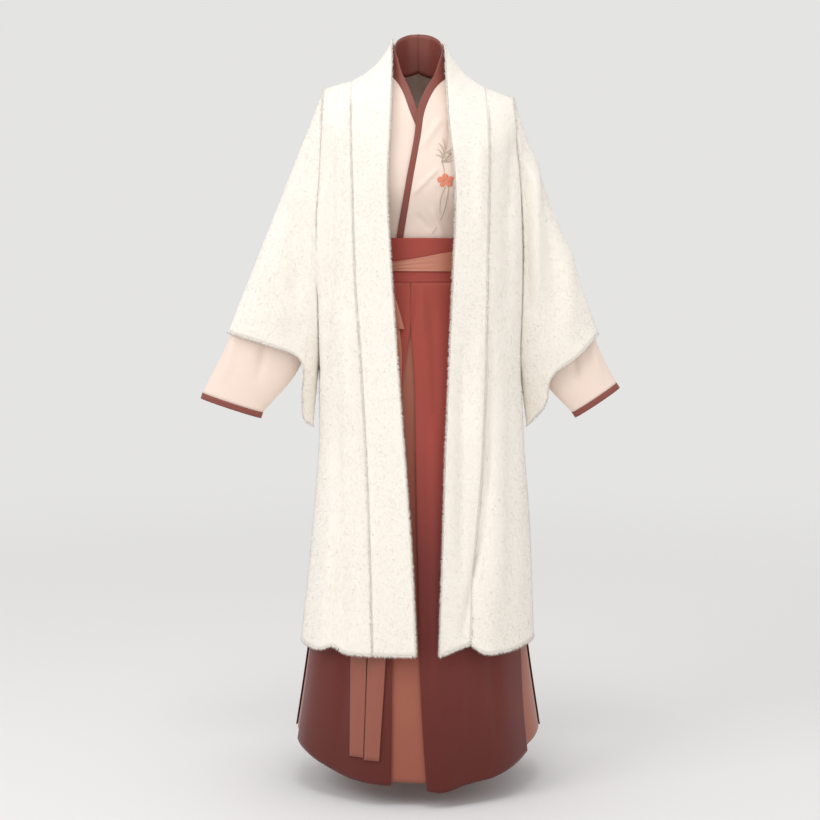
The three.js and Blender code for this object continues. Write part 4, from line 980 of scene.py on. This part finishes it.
def skirt_panel(start, end, extra, lift):
    """Panel between two edges given in degrees at each drop, down to the uneven hem."""
    def surface(u, v):
        """Between the two edges with u, from the waistband at v = 0 to the hem."""
        rough = lerp(WAIST_LOW + SEAM_GAP, SKIRT_HEM, v)
        deg = lerp(start(rough), end(rough), u)
        turn = np.abs((deg + 180) % 360 - 180)
        hem = read(HEM_DROPS, "deg", "drop", turn) + extra * (6 + 10 * bump(deg - 9, 9))
        drop = lerp(WAIST_LOW + SEAM_GAP, hem, v)
        return skirt_at(deg, drop, lift(drop))
    return surface


def slit_degrees(column):
    """Front slit's edge in degrees."""
    return lambda drop: skirt_degrees(read(SLIT, "drop", column, drop), drop)


def slit_column(column):
    """Side slit's edge in degrees."""
    return lambda drop: read(SLIT, "drop", column, drop)


def under_lift(drop):
    """Underskirt, just inside the form."""
    return np.full_like(drop, -0.8)


def over_lift(drop):
    """Overskirt, from sewn in at the waist to hanging free."""
    return lerp(0.9, 4, smooth(WAIST_LOW, 520, drop))


SKIRT_FINISH = {
    "roughness": 0.72, "sheen": 0.25, "sheen_roughness": 0.5, "specular": 0.25, "bump": 0.2, "depth": 0.0008,
    "surface": {"Broad Scale": 10, "Fine Scale": 1200, "Mottle": 0.35, "Relief": 1.0},
}
SKIRT_TAKES = (SKIRT_CREASES, SKIRT_FOLD_DEPTH)
HEM_TO_WAIST = {"low": -1.26, "high": -0.36}
rust = cloth_material("rust_cloth", (70, 26, 24), SKIRT_FINISH, ramp={**HEM_TO_WAIST, "stops": (
    (0, (92, 32, 25)), (0.16, (104, 41, 34)), (0.42, (124, 54, 49)), (0.66, (166, 74, 65)),
    (1, (172, 78, 65)))})
salmon = cloth_material("salmon_cloth", (120, 70, 56), SKIRT_FINISH, ramp={**HEM_TO_WAIST, "stops": (
    (0, (152, 87, 70)), (0.16, (163, 96, 77)), (0.5, (150, 80, 66)), (0.8, (176, 110, 90)),
    (1, (189, 122, 100)))})
band_red = cloth_material("rust_waistband", (110, 44, 38), SKIRT_FINISH, colour=(166, 73, 63))
cloth("skirt_waistband", lambda u, v: skirt_at(360 * u, lerp(WAIST_TOP, WAIST_LOW, v), np.zeros_like(u)),
      180, 24, 2.2, band_red, closed=True)
cloth("underskirt_front", skirt_panel(lambda d: -89.925 + 0 * d, lambda d: 89.925 + 0 * d, 0, under_lift),
      130, 110, SKIRT_WALL, salmon,
      creases=SKIRT_TAKES)
cloth("underskirt_back", skirt_panel(lambda d: 90.075 + 0 * d, lambda d: 269.925 + 0 * d, 0, under_lift),
      100, 80, SKIRT_WALL, salmon,
      creases=SKIRT_TAKES)
PANELS = {
    "overskirt_front_right": (slit_column("right_side"), slit_degrees("right"), (0.24, 0.88, 0.167)),
    "overskirt_front_left": (slit_degrees("left"), slit_column("left_side"), (0.23, 0.89, 0.191)),
    "overskirt_back": (slit_column("back_side"), lambda drop: 360 - slit_column("back_side")(drop),
                       (0.63, 0.87, 0.42)),
}
for node, (start, end, cut) in PANELS.items():
    cloth(node, skirt_panel(start, end, 1, over_lift), 96, 120, SKIRT_WALL, rust,
          creases=SKIRT_TAKES)

# ---------------------------------------------------------------------------
# Belt: a salmon ribbon wound once round the waist and knotted at the wearer's right, where its
# turn is gathered narrow, with one short and two long ends hanging free.
# ---------------------------------------------------------------------------
RIBBON_WALL = 0.8
BELT = table("deg top low",
             (-180, 326, 366), (-90, 328, 366), (-50, 337, 365), (-34, 347, 364), (-21, 346, 362),
             (0, 339, 362.5), (27, 329, 363), (90, 326, 366), (180, 326, 366))
KNOT = {"x": -70, "drop": 364, "width": 16, "depth": 7.4, "height": 14, "lift": 13}
TAILS = {
    "belt_tail_short": table("drop x width lift",
                             (382, -60, 22, 13), (410, -52, 28, 10), (464, -39, 31, 9.5)),
    "belt_tail_long_a": table("drop x width lift",
                              (382, -84, 18, 9), (460, -88, 28, 7.4), (700, -96, 31, 7.4),
                              (1030, -103, 31, 7.4), (1213, -106, 25, 7.4)),
    "belt_tail_long_b": table("drop x width lift", (382, -70, 16, 7), (430, -52, 26, 7), (520, -43, 30, 7.4),
                              (700, -55, 31, 7.4), (1030, -70, 31, 7.4), (1216, -79, 26, 7.4)),
}


def belt_turn(u, v):
    """Turn of ribbon between its two edges, pleated lengthwise where the knot gathers it."""
    deg = 360 * (u % 1) - 180
    drop = lerp(read(BELT, "deg", "top", deg), read(BELT, "deg", "low", deg), v)
    pleats = 0.8 * np.cos(6 * np.pi * v) * bump(deg + 26, 34)
    return skirt_at(deg, drop, 2.6 + pleats)


def ribbon_end(rows):
    """Hanging end about its middle line, with a slow wave across it."""
    def surface(u, v):
        """Across the ribbon with u and down it with v."""
        drop = lerp(rows["drop"][0], rows["drop"][-1], v)
        x = read(rows, "drop", "x", drop) + (u - 0.5) * read(rows, "drop", "width", drop)
        wave = 1.1 * np.sin(2 * np.pi * u) * np.sin(drop / 90)
        return skirt_at(skirt_degrees(x, drop), drop, read(rows, "drop", "lift", drop) + wave)
    return surface


def knot_surface(u, v):
    """Knot: an ellipsoid with shallow lengthwise folds, its poles drawn in to small rings."""
    climb = lerp(0.06, math.pi - 0.06, v)
    turn = 2 * np.pi * u
    folds = 1 + 0.07 * np.cos(5 * turn + 2 * climb)
    place = np.broadcast_arrays(skirt_degrees(KNOT["x"], KNOT["drop"]), float(KNOT["drop"]))
    centre = skirt_at(*place, KNOT["lift"])
    shape = joined(KNOT["width"] * np.sin(climb) * np.cos(turn) * folds,
                   KNOT["depth"] * np.sin(climb) * np.sin(turn) * folds, KNOT["height"] * np.cos(climb))
    return centre + shape


# The ribbon's ramp darkens it from the waist down to the hem. This is painted shade on the hanging tails,
# where they hang under the coat, darkest at the hem.
ribbon = cloth_material("salmon_ribbon_painted_shade", (130, 72, 56), SATIN_FINISH, ramp={**HEM_TO_WAIST, "stops": (
    (0, (146, 82, 66)), (0.6, (160, 92, 74)), (0.93, (190, 120, 98)), (1, (200, 132, 108)))})
cloth("belt_wrap", belt_turn, 220, 20, RIBBON_WALL, ribbon,
      closed=True)
for node, rows in TAILS.items():
    cloth(node, ribbon_end(rows), 14, 110, RIBBON_WALL, ribbon,
          creases=SKIRT_TAKES)
u, v = np.meshgrid(np.linspace(0, 1, 49), np.linspace(0, 1, 33))
knot_faces = grid_faces(48, 32, True)[:, ::-1]
knot = new_object("belt_knot_tied", knot_surface(u, v)[:, :-1] * MM, knot_faces, ribbon)
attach(knot, "root")
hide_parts("belt_knot")


bpy.context.view_layer.update()
